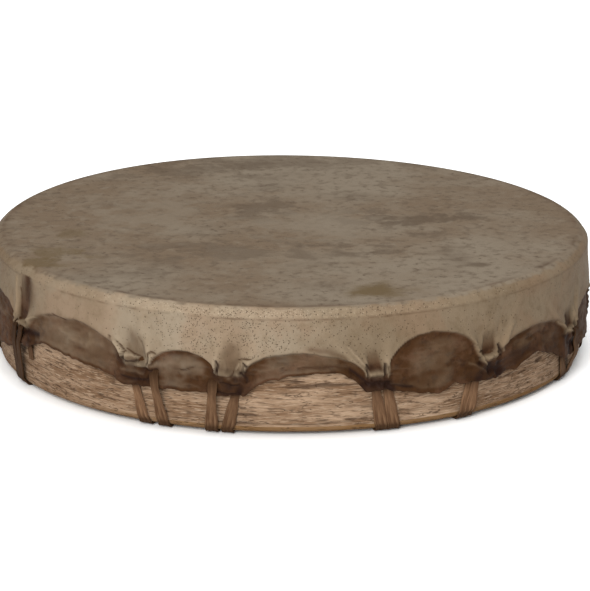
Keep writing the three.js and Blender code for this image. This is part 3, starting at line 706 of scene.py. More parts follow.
def group(name, inputs, outputs):
    """An empty shader node group with its named sockets, and its input and output nodes."""
    tree = bpy.data.node_groups.new(name, "ShaderNodeTree")
    for socket, kind, value in inputs:
        made = tree.interface.new_socket(socket, in_out="INPUT", socket_type="NodeSocket" + kind)
        if value is not None:
            made.default_value = value
    for socket, kind in outputs:
        tree.interface.new_socket(socket, in_out="OUTPUT", socket_type="NodeSocket" + kind)
    return tree, tree.nodes.new("NodeGroupInput").outputs, tree.nodes.new("NodeGroupOutput").inputs


def use(tree, made_group, inputs):
    made = tree.nodes.new("ShaderNodeGroup")
    made.node_tree = made_group
    for name, value in inputs.items():
        if isinstance(value, bpy.types.NodeSocket):
            tree.links.new(value, made.inputs[name])
        else:
            made.inputs[name].default_value = value
    return made.outputs


# Pores: pinpricks, more of them where Amount is high.
pores, given, result = group("pores", [("Vector", "Vector", None), ("Size", "Float", 900.0),
                                       ("Amount", "Float", 0.5)],
                             [("Mask", "Float")])
warp = put(pores, "TexNoise", {"Vector": given["Vector"], "Scale": 700.0, "Detail": 2.0})
nudge = put(pores, "VectorMath", {0: warp.outputs["Color"], "Scale": 0.0016}, operation="SCALE")
nudged = put(pores, "VectorMath", {0: given["Vector"], 1: nudge.outputs[0]}, operation="ADD")
pricks = put(pores, "TexVoronoi", {"Vector": nudged.outputs[0], "Scale": given["Size"], "Randomness": 1.0})
prick = remap(pores, pricks.outputs["Distance"], 0.42, 0.16)
chosen = put(pores, "SeparateColor", {"Color": pricks.outputs["Color"]}).outputs[0]
kept = put(pores, "Math", {0: given["Amount"], 1: chosen}, operation="GREATER_THAN").outputs[0]
pores.links.new(sum_of(pores, "MULTIPLY", prick, kept), result["Mask"])

# Blotches: soft-edged cloudy stains.
blotches, given, result = group("blotches", [("Vector", "Vector", None), ("Scale", "Float", 10.0),
                                             ("Low", "Float", 0.45), ("High", "Float", 0.65)],
                                [("Mask", "Float")])
cloud = put(blotches, "TexNoise", {"Vector": given["Vector"], "Scale": given["Scale"],
                                   "Detail": 6.0, "Roughness": 0.62})
blotches.links.new(remap(blotches, cloud.outputs["Fac"], given["Low"], given["High"]), result["Mask"])

# Stain: one soft mark with a ragged edge, at a place on the playing face.
stain, given, result = group("stain", [("Vector", "Vector", None), ("Place", "Vector", None),
                                       ("Stretch", "Vector", None), ("Ragged", "Float", 0.5)],
                             [("Mask", "Float")])
ragged_edge = put(stain, "TexNoise", {"Vector": given["Vector"], "Scale": 45.0, "Detail": 5.0,
                                      "Roughness": 0.6})
from_place = put(stain, "VectorMath", {0: given["Vector"], 1: given["Place"]}, operation="SUBTRACT")
squeezed = put(stain, "VectorMath", {0: from_place.outputs[0], 1: given["Stretch"]}, operation="MULTIPLY")
distance = put(stain, "VectorMath", {0: squeezed.outputs[0]}, operation="LENGTH").outputs["Value"]
edge = sum_of(stain, "MULTIPLY", remap(stain, ragged_edge.outputs["Fac"], 0.30, 0.70, -1, 1), given["Ragged"])
stain.links.new(remap(stain, sum_of(stain, "ADD", distance, edge), 1.25, 0.25), result["Mask"])


def cloudy(scale, low, high):
    """Blotches over the piece whose finish is being made."""
    return use(tree, blotches, {"Vector": place, "Scale": scale, "Low": low, "High": high})["Mask"]


def layer(below, above, mask, strength):
    """One colour laid over another where the mask is, in the finish being made."""
    return blend(tree, sum_of(tree, "MULTIPLY", mask, strength), below, above)


def new_finish(name):
    """A material, with its nodes and its shader."""
    made = bpy.data.materials.new(name)
    made.use_nodes = True
    return made, made.node_tree, made.node_tree.nodes["Principled BSDF"]


def roughen(height, strength, distance):
    """Fine relief in the finish being made."""
    bump = put(tree, "Bump", {"Height": height, "Strength": strength, "Distance": distance})
    tree.links.new(bump.outputs["Normal"], shader.inputs["Normal"])


hide_finish, tree, shader = new_finish("smoked_rawhide")
place = put(tree, "TexCoord").outputs["Object"]


def tone(name):
    return put(tree, "Attribute", attribute_name=name).outputs["Fac"]


HEAD_BROWN = (0.110, 0.078, 0.051)
HEAD_GREY = (0.143, 0.114, 0.083)
HEAD_SMUDGE = (0.066, 0.046, 0.030)
HEAD_OLIVE = (0.080, 0.054, 0.026)
SIDE_PALE = (0.193, 0.155, 0.112)
SIDE_PINK = (0.190, 0.139, 0.096)
SIDE_BROWN = (0.112, 0.080, 0.048)
SIDE_SHADE_TINT = (0.66, 0.60, 0.53)
SLACK_BROWN = (0.036, 0.0155, 0.0055)
SLACK_PINK = (0.072, 0.036, 0.020)
KNOT_BROWN = (0.012, 0.005, 0.003)
PAINTED_HIGHLIGHT = (0.235, 0.184, 0.128)
PIT = (0.045, 0.028, 0.016)
FLECK = (0.330, 0.270, 0.200)
DRUM_RADIUS = 0.2

clouds = cloudy(7.0, 0.40, 0.62)
head_colour = blend(tree, clouds, HEAD_BROWN, HEAD_GREY)
smudges = cloudy(16.0, 0.50, 0.72)
head_colour = layer(head_colour, HEAD_SMUDGE, smudges, 0.45)
scuffs = cloudy(130.0, 0.47, 0.66)
head_colour = layer(head_colour, HEAD_SMUDGE, scuffs, 0.50)
bright_scuffs = cloudy(95.0, 0.52, 0.70)
head_colour = layer(head_colour, HEAD_GREY, bright_scuffs, 0.55)
specks = cloudy(260.0, 0.60, 0.70)
head_colour = layer(head_colour, PIT, specks, 0.55)

# Marks on the playing face: place and half size as shares of the drum's radius, edge, strength, colour.
HEAD_MARKS = [
    ((0.28, -0.80), (0.11, 0.10), 0.35, 0.95, HEAD_OLIVE),
    ((0.00, 0.86), (0.60, 0.10), 0.7, 0.40, HEAD_SMUDGE),
    ((-0.05, -0.42), (0.25, 0.20), 0.7, 0.50, HEAD_GREY),
    ((0.38, 0.05), (0.22, 0.12), 0.9, 0.75, HEAD_SMUDGE),
    ((0.44, -0.12), (0.12, 0.05), 0.9, 0.50, HEAD_SMUDGE),
    ((-0.10, 0.19), (0.11, 0.14), 0.8, 0.60, HEAD_SMUDGE),
    ((-0.18, -0.33), (0.30, 0.12), 0.9, 0.50, HEAD_SMUDGE),
    ((-0.75, -0.10), (0.06, 0.07), 0.8, 0.55, HEAD_OLIVE),
    ((-0.76, -0.36), (0.09, 0.08), 0.8, 0.65, HEAD_OLIVE),
    ((-0.82, -0.48), (0.08, 0.05), 0.8, 0.70, HEAD_OLIVE),
    ((0.62, -0.50), (0.05, 0.03), 0.3, 0.75, HEAD_SMUDGE),
    ((0.52, -0.33), (0.03, 0.03), 0.3, 0.50, HEAD_SMUDGE),
    ((0.12, -0.27), (0.16, 0.03), 0.7, 0.60, HEAD_SMUDGE),
    ((0.30, -0.36), (0.11, 0.03), 0.7, 0.60, HEAD_SMUDGE),
    ((0.10, 0.00), (0.22, 0.16), 0.7, 0.60, HEAD_GREY),
    ((-0.50, 0.15), (0.20, 0.30), 0.7, 0.55, HEAD_GREY),
    ((-0.35, 0.75), (0.30, 0.12), 0.8, 0.45, HEAD_SMUDGE),
]
for (right, back), (half_wide, half_deep), ragged, strength, mark_colour in HEAD_MARKS:
    stretch = (1 / (half_wide * DRUM_RADIUS), 1 / (half_deep * DRUM_RADIUS), 0)
    centre = (right * DRUM_RADIUS, back * DRUM_RADIUS, drum_high.z)
    mark = use(tree, stain, {"Vector": place, "Ragged": ragged, "Place": centre, "Stretch": stretch})["Mask"]
    head_colour = layer(head_colour, mark_colour, mark, strength)

pink = cloudy(22.0, 0.42, 0.60)
brown = cloudy(13.0, 0.46, 0.70)
side_colour = blend(tree, pink, SIDE_PALE, SIDE_PINK)
side_colour = layer(side_colour, SIDE_BROWN, brown, 0.55)
side_scuffs = cloudy(170.0, 0.45, 0.70)
side_colour = layer(side_colour, SIDE_BROWN, side_scuffs, 0.40)
# The side's colour is multiplied by the painted side shade.
side_colour = blend(tree, tone("side_shade"), side_colour, SIDE_SHADE_TINT, "MULTIPLY")
colour = blend(tree, tone("side"), head_colour, side_colour)
colour = layer(colour, SIDE_BROWN, tone("smoke"), 0.6)
# The painted highlight's colour, darkened by the painted side shade.
highlight_colour = blend(tree, tone("side_shade"), PAINTED_HIGHLIGHT, SIDE_SHADE_TINT, "MULTIPLY")
colour = blend(tree, tone("light"), colour, highlight_colour)
slack_pink = cloudy(48.0, 0.46, 0.62)
slack_colour = layer(SLACK_BROWN, SLACK_PINK, slack_pink, 0.55)
slack_wear = cloudy(150.0, 0.50, 0.66)
slack_colour = layer(slack_colour, KNOT_BROWN, slack_wear, 0.45)
colour = blend(tree, tone("dark"), colour, slack_colour)
dots = sum_of(tree, "MULTIPLY", tone("pitted"), 0.55)
pits = use(tree, pores, {"Vector": place, "Size": 820.0, "Amount": dots})["Mask"]
colour = layer(colour, PIT, pits, 0.8)
dots = sum_of(tree, "MULTIPLY", tone("flecked"), 0.55)
flecks = use(tree, pores, {"Vector": place, "Size": 1050.0, "Amount": dots})["Mask"]
colour = layer(colour, FLECK, flecks, 0.50)
colour = blend(tree, tone("knot"), colour, KNOT_BROWN)
tree.links.new(colour, shader.inputs["Base Color"])
tree.links.new(remap(tree, tone("knot"), 0.0, 1.0, 0.66, 0.48), shader.inputs["Roughness"])
shader.inputs["Specular IOR Level"].default_value = 0.04
grain = put(tree, "TexNoise", {"Vector": place, "Scale": 380.0, "Detail": 5.0,
                               "Roughness": 0.65}).outputs["Fac"]
relief = sum_of(tree, "SUBTRACT", grain, sum_of(tree, "MULTIPLY", pits, 0.8))
roughen(relief, 0.55, 0.0007)
drumhead.data.materials.append(hide_finish)
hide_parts("drumhead")
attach(drumhead, "root")

# ---------------------------------------------------------------------------------------------
# Hoop: one board of ash-like wood steamed and bent round, left rough outside, where weather has
# opened fine fissures along the grain. Hands have rubbed its lower edge round and golden, a colour
# made darker there as painted shade.
# ---------------------------------------------------------------------------------------------
WOOD_WALL = 11.5
LOWER_EDGE_ROUND = 4.0
INNER_EDGE_CUT = 1.5
HOOP_STEPS = 840
GRAIN_STEP = 0.70
GRAIN_SHOWN = 50.0
WOOD_TOP = DRUM_HEIGHT - HIDE_THICKNESS - GAP

hoop_azimuth = 180 + np.arange(HOOP_STEPS) * 360 / HOOP_STEPS
hoop_turn = np.radians(hoop_azimuth)


def grain_noise(length, tall, height, drift, seed):
    """Noise in streaks length mm long and tall mm high that waver along the hoop, with no seam."""
    wander = 1.6 * np.sin(3 * hoop_turn + seed) + 1.1 * np.sin(7 * hoop_turn + 2 * seed)
    up = (height + drift * wander) / tall + 17
    along = (hoop_azimuth - 180) / 360
    whole = 2 * math.pi * WOOD_RADIUS_LOW / length
    return mix(wrinkles(along * whole, up, seed), wrinkles((along - 1) * whole, up, seed),
               smooth(0.95, 1, along))


def grain_relief(height):
    """Relief of the weathered face (mm), and how deep in a fissure and how brown it is (0 to 1)."""
    fibres = grain_noise(9, 1.5, height, 0.6, 61) + 0.7 * grain_noise(5, 1.0, height, 0.6, 62)
    ledges = grain_noise(30, 5.0, height, 1.0, 63)
    long_cracks = smooth(0.60, 0.85, np.abs(grain_noise(17, 1.9, height, 0.8, 64)))
    short_cracks = smooth(0.55, 0.85, grain_noise(6, 1.3, height, 0.8, 65))
    cracked_places = smooth(-0.1, 0.4, grain_noise(60, 9, height, 0.5, 66))
    crack = np.maximum(long_cracks * cracked_places, 0.7 * short_cracks)
    rough = smooth(LOWER_EDGE_ROUND - 1, LOWER_EDGE_ROUND + 3, height)
    relief = rough * (0.16 * fibres + 0.22 * ledges - 0.42 * crack)
    brown = 0.5 + 0.5 * grain_noise(75, 13, height, 1.0, 67) + 0.25 * fibres
    brown = brown + 0.6 * patch(hoop_azimuth, 54, 14)
    return relief, rough * crack, np.clip(brown, 0, 1.5)


hoop_rings, hoop_measures = [], []
hoop_tones = {"crack": [], "brown": [], "edge_wear_and_shade": []}


def add_hoop_ring(radius, height, along_profile, relief=0.0, crack=0.0, brown=0.5, edge_wear_and_shade=0.0):
    radius = radius + relief + 0 * hoop_turn
    level = FLOOR_TO_WOOD + worn(hoop_azimuth, height + 0 * hoop_turn)
    hoop_rings.append(np.stack([radius * np.sin(hoop_turn), -radius * np.cos(hoop_turn), level], 1))
    hoop_measures.append(along_profile)
    for name, value in (("crack", crack), ("brown", brown), ("edge_wear_and_shade", edge_wear_and_shade)):
        hoop_tones[name].append(value + 0 * hoop_turn)


inner_radius = WOOD_RADIUS_LOW - WOOD_WALL
add_hoop_ring(inner_radius, WOOD_TOP, 0)
add_hoop_ring(WOOD_RADIUS_HIGH - SHOULDER, WOOD_TOP, 8)
add_hoop_ring(WOOD_RADIUS_HIGH, WOOD_TOP - SHOULDER, 16)
for height in np.append((66, 58), np.arange(GRAIN_SHOWN, LOWER_EDGE_ROUND, -GRAIN_STEP)):
    relief, crack, brown = grain_relief(height)
    add_hoop_ring(wood_radius(height), height, 90 - height, relief, crack, brown)
# The lower edge is rubbed golden and darkened with painted shade from the front round to the right, and less
# on the left.
edge_wear_and_shade_share = 0.25 + 0.75 * smooth(-45, -15, degrees_from(hoop_azimuth, 0))
EDGE_TURNS = 7
for k in range(EDGE_TURNS + 1):
    turn = math.radians(90 * k / EDGE_TURNS)
    height = LOWER_EDGE_ROUND * (1 - math.sin(turn))
    relief, crack, brown = grain_relief(height)
    add_hoop_ring(wood_radius(height) - LOWER_EDGE_ROUND * (1 - math.cos(turn)), height,
                  90 - LOWER_EDGE_ROUND + 0.8 * k, relief, crack, brown, edge_wear_and_shade=edge_wear_and_shade_share)
add_hoop_ring(inner_radius + INNER_EDGE_CUT, 0, 100, edge_wear_and_shade=0.6)
for height in (INNER_EDGE_CUT, 8, 20, 35, 50, 65):
    add_hoop_ring(inner_radius, height, 102 + height)

hoop = turned_mesh("bent_wood_hoop", hoop_rings, hoop_tones, closes=True)
along = hoop.data.uv_layers.new(name="grain")
corner_points = np.zeros(len(hoop.data.loops), int)
hoop.data.loops.foreach_get("vertex_index", corner_points)
corner_ring, corner_step = corner_points // HOOP_STEPS, corner_points % HOOP_STEPS
corner_in_face = np.arange(len(corner_points)) % 4
wraps = (corner_step == 0) & ((corner_in_face == 2) | (corner_in_face == 3))
measure = np.array(hoop_measures, float)[corner_ring]
closing = (corner_ring == 0) & ((corner_in_face == 1) | (corner_in_face == 2))
measure = np.where(closing, 185, measure)
girth = np.where(wraps, HOOP_STEPS, corner_step) / HOOP_STEPS * 2 * math.pi * WOOD_RADIUS_LOW
along.data.foreach_set("uv", (np.stack([girth, measure], 1) * MM).ravel().astype(np.float32))

wood_finish, tree, shader = new_finish("weathered_bent_wood")
grain_way = put(tree, "UVMap", uv_map="grain").outputs["UV"]


def streaks(length, tall, detail, low, high):
    """Streaks along the grain, length and tall in mm."""
    stretched = put(tree, "Mapping", {"Vector": grain_way, "Scale": (1000 / length, 1000 / tall, 1)})
    noise = put(tree, "TexNoise", {"Vector": stretched.outputs[0], "Scale": 1.0, "Detail": detail,
                                   "Roughness": 0.6})
    return remap(tree, noise.outputs["Fac"], low, high)


def fissures(length, tall, thin):
    """Thin wavering cracks: where a streaky noise crosses its middle value."""
    stretched = put(tree, "Mapping", {"Vector": grain_way, "Scale": (1000 / length, 1000 / tall, 1)})
    noise = put(tree, "TexNoise", {"Vector": stretched.outputs[0], "Scale": 1.0, "Detail": 3.0,
                                   "Roughness": 0.55, "Distortion": 0.6})
    away = sum_of(tree, "ABSOLUTE", sum_of(tree, "SUBTRACT", noise.outputs["Fac"], 0.5), 0.0)
    return remap(tree, away, thin, 0.0)


WOOD_PALE = (0.262, 0.180, 0.119)
WOOD_BROWN = (0.122, 0.071, 0.040)
WOOD_GREY = (0.330, 0.250, 0.178)
WOOD_DARK = (0.026, 0.013, 0.007)
WOOD_EDGE_WEAR_AND_SHADE = (0.125, 0.066, 0.024)
colour = blend(tree, streaks(52, 9, 3, 0.36, 0.64), WOOD_PALE, WOOD_BROWN)
colour = layer(colour, WOOD_BROWN, tone("brown"), 0.40)
colour = layer(colour, WOOD_GREY, streaks(8.0, 0.70, 6, 0.50, 0.66), 0.65)
colour = layer(colour, WOOD_DARK, streaks(7.0, 0.55, 7, 0.54, 0.68), 0.66)
# Golden wear on the lower edge, made darker as painted shade.
colour = layer(colour, WOOD_EDGE_WEAR_AND_SHADE, tone("edge_wear_and_shade"), 0.80)
colour = layer(colour, WOOD_DARK, fissures(26, 2.6, 0.030), 0.75)
colour = layer(colour, WOOD_DARK, tone("crack"), 0.75)
tree.links.new(colour, shader.inputs["Base Color"])
shader.inputs["Roughness"].default_value = 0.80
shader.inputs["Specular IOR Level"].default_value = 0.04
fibre = put(tree, "Mapping", {"Vector": grain_way, "Scale": (110, 1300, 1)})
fibre_noise = put(tree, "TexNoise", {"Vector": fibre.outputs[0], "Scale": 1.0, "Detail": 4.0})
roughen(fibre_noise.outputs["Fac"], 0.5, 0.0008)
hoop.data.materials.append(wood_finish)
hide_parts("hoop")
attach(hoop, "root")

# ---------------------------------------------------------------------------------------------
# Laces: each tie is one flat thong of rawhide that goes in and out of two slits. Its two legs
# come down over the wood, turn under the lower edge, and run twisted together across the open
# back to an eye round the hand ring.
# ---------------------------------------------------------------------------------------------
STRAND_LOW = 1.75
LEG_THICKNESS = 1.5
RING_RADIUS = 32.0
RING_SECTION = 5.0
RING_HEIGHT = 14.0
EYE_RADIUS = RING_SECTION + 2.1
PLY_WIDTH = 4.0
PLY_THICKNESS = 2.6
PLY_TURN = 34.0
ROUND_THONG = 14


def polar(azimuth, radius, height):
    turn = math.radians(azimuth)
    return np.array([radius * math.sin(turn), -radius * math.cos(turn), height])


def hide_radius_at(azimuth, height):
    """Radius of the hide's outside at one place of the skirt."""
    spot = np.array([azimuth], float)
    level = np.array([height], float)
    return float((wood_radius(level) + GAP + HIDE_THICKNESS + hide_form(spot, level, Skirt(spot))[0])[0])


def thong(stations, seed):
    """A strip of rawhide through stations of centre, across, outward, width, thickness and gloom.
    Its edges curl outward and its face is ridged along its length."""
    ring = np.arange(ROUND_THONG) * 2 * math.pi / ROUND_THONG
    wide = np.sign(np.cos(ring)) * np.abs(np.cos(ring)) ** 0.75
    thick = np.sign(np.sin(ring)) * np.abs(np.sin(ring)) ** 0.6
    points, measures, glooms = [], [], []
    run = 0.0
    before = stations[0][0]
    random = np.random.default_rng(seed)
    ridges = random.uniform(0, 6.28, 3)
    for at, across, outward, width, thickness, gloom in stations:
        run += float(np.linalg.norm(at - before))
        before = at
        flatness = min(1, width / 7)
        curl = flatness * (0.55 * wide ** 2 - 0.2)
        ripple = 0.10 * np.sin(7 * wide + ridges[0] + run / 9) + 0.08 * np.sin(13 * wide + ridges[1])
        ripple = flatness * ripple
        waver = 1 + 0.05 * math.sin(run / 5 + ridges[2]) + 0.03 * math.sin(run / 1.9 + ridges[0])
        lift = thick * thickness / 2 + curl + np.where(thick > 0, ripple, 0)
        points.append(at + np.outer(wide * width / 2 * waver, across) + np.outer(lift, outward))
        measures.append(np.stack([ring / 6.2832 * 20, run + 0 * ring], 1))
        glooms.append(gloom + 0 * ring)
    return np.array(points), np.array(measures), np.array(glooms)


def thong_mesh(name, strips):
    """One mesh of strips, each closed at its ends, with its measures as UV and its gloom."""
    points, faces, uv, gloom = [], [], [], []
    for strip_points, strip_measures, strip_gloom in strips:
        count, ring = strip_points.shape[:2]
        base = len(points)
        points += (strip_points.reshape(-1, 3) * MM).tolist()
        gloom += strip_gloom.ravel().tolist()
        for i in range(count - 1):
            for j in range(ring):
                k = (j + 1) % ring
                faces.append((base + i * ring + j, base + i * ring + k,
                              base + (i + 1) * ring + k, base + (i + 1) * ring + j))
                low, high = strip_measures[i, j], strip_measures[i + 1, j]
                edge = strip_measures[0, 1, 0] - strip_measures[0, 0, 0]
                uv += [(low[0], low[1]), (low[0] + edge, low[1])]
                uv += [(high[0] + edge, high[1]), (high[0], high[1])]
        faces.append(tuple(base + j for j in range(ring - 1, -1, -1)))
        faces.append(tuple(base + (count - 1) * ring + j for j in range(ring)))
        uv += [(0, 0)] * (2 * ring)
    mesh = bpy.data.meshes.new(name)
    mesh.from_pydata(points, [], faces)
    mesh.uv_layers.new(name="run").data.foreach_set("uv", (np.array(uv) * MM).ravel().astype(np.float32))
    mesh.attributes.new("gloom", "FLOAT", "POINT").data.foreach_set("value", np.array(gloom, np.float32))
    mesh.shade_smooth()
    mesh.update()
    made = bpy.data.objects.new(name, mesh)
    scene.collection.objects.link(made)
    return made


def unit(vector):
    return vector / np.linalg.norm(vector)


# By the tie's number from 0: which legs lie over the skirt instead of coming out from under its
# hem, the height such a leg starts at when it isn't the slit's, how dark the left and right legs
# have gone, and the azimuths they come from when these aren't the slits'.
OVER = {1: (-1, 1), 2: (1,), 3: (-1,), 6: (1,), 9: (-1,), 12: (1,)}
LEG_START = {2: 38, 3: 37}
LEG_AGE = {1: (0.86, 0.82), 2: (0.05, 0.3), 3: (0.28, 0.4), 4: (0.22, 0.18), 5: (0.0, 0.0), 6: (0.35, 0.3)}
LEG_TOPS = {1: (-61.7, -59.6), 2: (-30.8, -25.3), 3: (-13.6, -9.0), 4: (15.2, 17.5), 5: (36.2, 37.4)}
PLAIN_AGE = 0.1


def leg(index, side):
    """One leg from the slit, over or under the skirt's hem, down the wood and under its edge."""
    tie = TIES[index]
    over = side in OVER.get(index, ())
    right = (side + 1) // 2
    half = LEG_THICKNESS / 2
    age = LEG_AGE[index][right] if index in LEG_AGE else PLAIN_AGE
    top = LEG_TOPS[index][right] if index in LEG_TOPS else tie["at"] + side * tie["apart"] / 2
    foot = tie["at"] + side * tie["close"] / 2 + tie["lean"]
    hem = min(float(Skirt(np.array([mix(foot, top, tie["hem"] / tie["slit"]) + d], float)).hem[0])
              for d in (-1, 0, 1))
    start = LEG_START.get(index, tie["slit"]) if over else hem + 9
    stations = []
    heights = np.arange(start, LOWER_EDGE_ROUND - 0.1, -1.2)
    on_wood = WOOD_RADIUS_LOW + 0.5 + half + (0.9 if side > 0 and tie["close"] < 2.2 else 0)
    radii = np.full(len(heights), on_wood)
    if over:
        spread = math.degrees(0.4 * tie["width"] / WOOD_RADIUS_HIGH)
        for k, height in enumerate(heights):
            azimuth = mix(foot, top, height / tie["slit"])
            on_hide = max(hide_radius_at(azimuth + d, max(height, hem)) for d in (-spread, 0, spread)) + half
            # A taut thong leaves the bunch in a straight line for the hoop's lower edge.
            stretched = np.clip((height - LOWER_EDGE_ROUND) / (hem - LOWER_EDGE_ROUND), 0, 1)
            radii[k] = mix(on_wood, on_hide, float(stretched))
        taps = np.array([1, 2, 3, 4, 3, 2, 1]) / 16
        softened = np.convolve(np.pad(radii, 3, mode="edge"), taps, mode="valid")
        radii = np.maximum(softened, radii - 0.5) + 0.2
        radii -= 3.5 * smooth(start - 4, start, heights)
    for height, radius in zip(heights, radii):
        azimuth = mix(foot, top, height / tie["slit"])
        flare = mix(1.12, 0.80, float(smooth(4, hem, height)))
        # The leg is darkened with painted shade where it comes out from under the hem, and near the slit
        # where it lies over the skirt; it is also darker low down, and its age darkens all of it.
        under_hem = 0.75 * float(smooth(hem - 7, hem + 3, height)) * (0.55 if over else 1)
        at_slit = 0.45 * float(smooth(hem, start, height)) if over else 0
        gloom = mix(under_hem + at_slit + 0.4 * float(smooth(7, 3, height)), 1, age)
        stations.append((polar(azimuth, radius, FLOOR_TO_WOOD + float(worn(azimuth, height))),
                         polar(azimuth + 90, 1, 0), polar(azimuth, 1, 0), tie["width"] * flare,
                         LEG_THICKNESS, gloom))
    # Turning under the lower edge, the leg is darkened as painted shade.
    edge = WOOD_RADIUS_LOW - LOWER_EDGE_ROUND
    bend = LOWER_EDGE_ROUND + 0.3 + half
    for degrees in (15, 30, 45, 60, 75, 90):
        turn = math.radians(degrees)
        level = FLOOR_TO_WOOD + LOWER_EDGE_ROUND - bend * math.sin(turn)
        at = polar(foot, edge + bend * math.cos(turn), max(half + 0.9, level))
        stations.append((at, polar(foot + 90, 1, 0), polar(foot, math.cos(turn), -math.sin(turn)),
                         tie["width"] * 1.12, LEG_THICKNESS, 0.8))
    return stations, foot


def strand(tie, side, foot, ring_azimuth):
    """The same leg going on: drawn in beside its twin, twisted with it, and round the hand ring."""
    rim = WOOD_RADIUS_LOW - WOOD_WALL - 3
    middle = tie["at"] + tie["lean"]
    begin = polar(middle, rim, STRAND_LOW)
    end = polar(ring_azimuth, RING_RADIUS + EYE_RADIUS + 3, RING_HEIGHT)
    ahead = unit(end - begin)
    sideways = unit(np.cross(ahead, (0, 0, 1)))
    upward = np.cross(sideways, ahead)
    from_rim = polar(foot, rim, STRAND_LOW)
    length = float(np.linalg.norm(end - begin))
    down = np.array([0, 0, -1.0])
    stations = [(polar(foot, rim + 3, STRAND_LOW), polar(foot + 90, 1, 0), down,
                 tie["width"], LEG_THICKNESS, 0.5)]
    for share in np.linspace(0, 1, 70):
        gathered = float(smooth(0, 0.28, share))
        twist = 2 * math.pi * length * max(0, share - 0.12) / PLY_TURN + (0 if side > 0 else math.pi)
        on_axis = begin + ahead * length * share
        ply = on_axis + (sideways * math.cos(twist) + upward * math.sin(twist)) * PLY_THICKNESS * 0.42
        along_leg = from_rim + ahead * length * share
        at = mix(along_leg, ply, gathered)
        at[2] = max(at[2], STRAND_LOW)
        lean = unit(mix(down, -(sideways * math.cos(twist) + upward * math.sin(twist)), gathered * 0.9))
        across = unit(np.cross(ahead, lean))
        stations.append((at, across, np.cross(across, ahead), mix(tie["width"], PLY_WIDTH, gathered),
                         mix(LEG_THICKNESS, PLY_THICKNESS, gathered), 0.45))
    outward = polar(ring_azimuth, 1, 0)
    aside = polar(ring_azimuth + 90, 1, 0)
    up = np.array([0, 0, 1.0])
    centre = polar(ring_azimuth, RING_RADIUS, RING_HEIGHT) + aside * side * 2.0
    for degrees in np.arange(15, 375, 15):
        turn = math.radians(degrees) * side
        away = outward * math.cos(turn) + up * math.sin(turn)
        stations.append((centre + away * EYE_RADIUS, aside * side, away, PLY_WIDTH, 1.8, 0.55))
    return stations


# The cut end of one lace hangs out from under the hem beside its legs: the tie's number from 0,
# and at its top and at its cut the azimuth, height, distance from the wood, and width.
LOOSE_END_OF = 1
LOOSE_END_TOP = (-58.9, 37, 2.6, 7.0)
LOOSE_END_CUT = (-58.3, 20, 1.6, 5.6)
LOOSE_END_FACING = -58.6


def loose_end():
    """Stations of the loose end, from its top down to its cut."""
    stations = []
    for share in np.linspace(0, 1, 14):
        azimuth, height, off_wood, width = [mix(a, b, share) for a, b in zip(LOOSE_END_TOP, LOOSE_END_CUT)]
        at = polar(azimuth, WOOD_RADIUS_LOW + off_wood, FLOOR_TO_WOOD + height)
        # Painted shade: the loose end is darker at its top, where it comes out from under the hem.
        gloom = mix(0.95, 0.50, float(smooth(0, 0.7, share)))
        stations.append((at, polar(LOOSE_END_FACING + 90, 1, 0), polar(LOOSE_END_FACING, 1, 0), width,
                         LEG_THICKNESS, gloom))
    return stations


laces = []
for index, tie in enumerate(TIES):
    ring_azimuth = 360 / len(TIES) * (index - 3.5)
    strips = []
    for side in (-1, 1):
        on_face, foot = leg(index, side)
        seed = 100 + 2 * index + side
        strips.append(thong(on_face + strand(tie, side, foot, ring_azimuth), seed))
    if index == LOOSE_END_OF:
        strips.append(thong(loose_end(), 99))
    number = f"{index + 1:02d}"
    lace = thong_mesh(f"rawhide_lace_{number}", strips)
    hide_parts(f"lace_{number}")
    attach(lace, "root")
    laces.append(lace)

lace_finish, tree, shader = new_finish("lace_rawhide")
run_way = put(tree, "UVMap", uv_map="run").outputs["UV"]
place = put(tree, "TexCoord").outputs["Object"]
LACE_TAN = (0.148, 0.084, 0.046)
LACE_BROWN = (0.074, 0.038, 0.020)
LACE_PALE = (0.190, 0.122, 0.072)
LACE_GLOOM = (0.022, 0.010, 0.004)
stretched = put(tree, "Mapping", {"Vector": run_way, "Scale": (650, 45, 1)}).outputs[0]
streak = put(tree, "TexNoise", {"Vector": stretched, "Scale": 1.0, "Detail": 4.0,
                                "Roughness": 0.6}).outputs["Fac"]
colour = blend(tree, remap(tree, streak, 0.38, 0.62), LACE_BROWN, LACE_TAN)
colour = layer(colour, LACE_PALE, remap(tree, streak, 0.60, 0.74), 0.6)
stains = cloudy(60.0, 0.50, 0.66)
colour = layer(colour, LACE_BROWN, stains, 0.45)
colour = blend(tree, tone("gloom"), colour, LACE_GLOOM)
tree.links.new(colour, shader.inputs["Base Color"])
shader.inputs["Roughness"].default_value = 0.70
shader.inputs["Specular IOR Level"].default_value = 0.04
roughen(streak, 0.6, 0.0008)
for lace in laces:
    lace.data.materials.append(lace_finish)

# ---------------------------------------------------------------------------------------------
# Hand ring: a hoop of stiff rawhide in the middle of the open back, wound closely with a thong,
# that gathers all the laces and is the grip.
# ---------------------------------------------------------------------------------------------
WINDING_TURNS = 46
WINDING_WIDTH = 4.2
WINDING_THICKNESS = 1.1

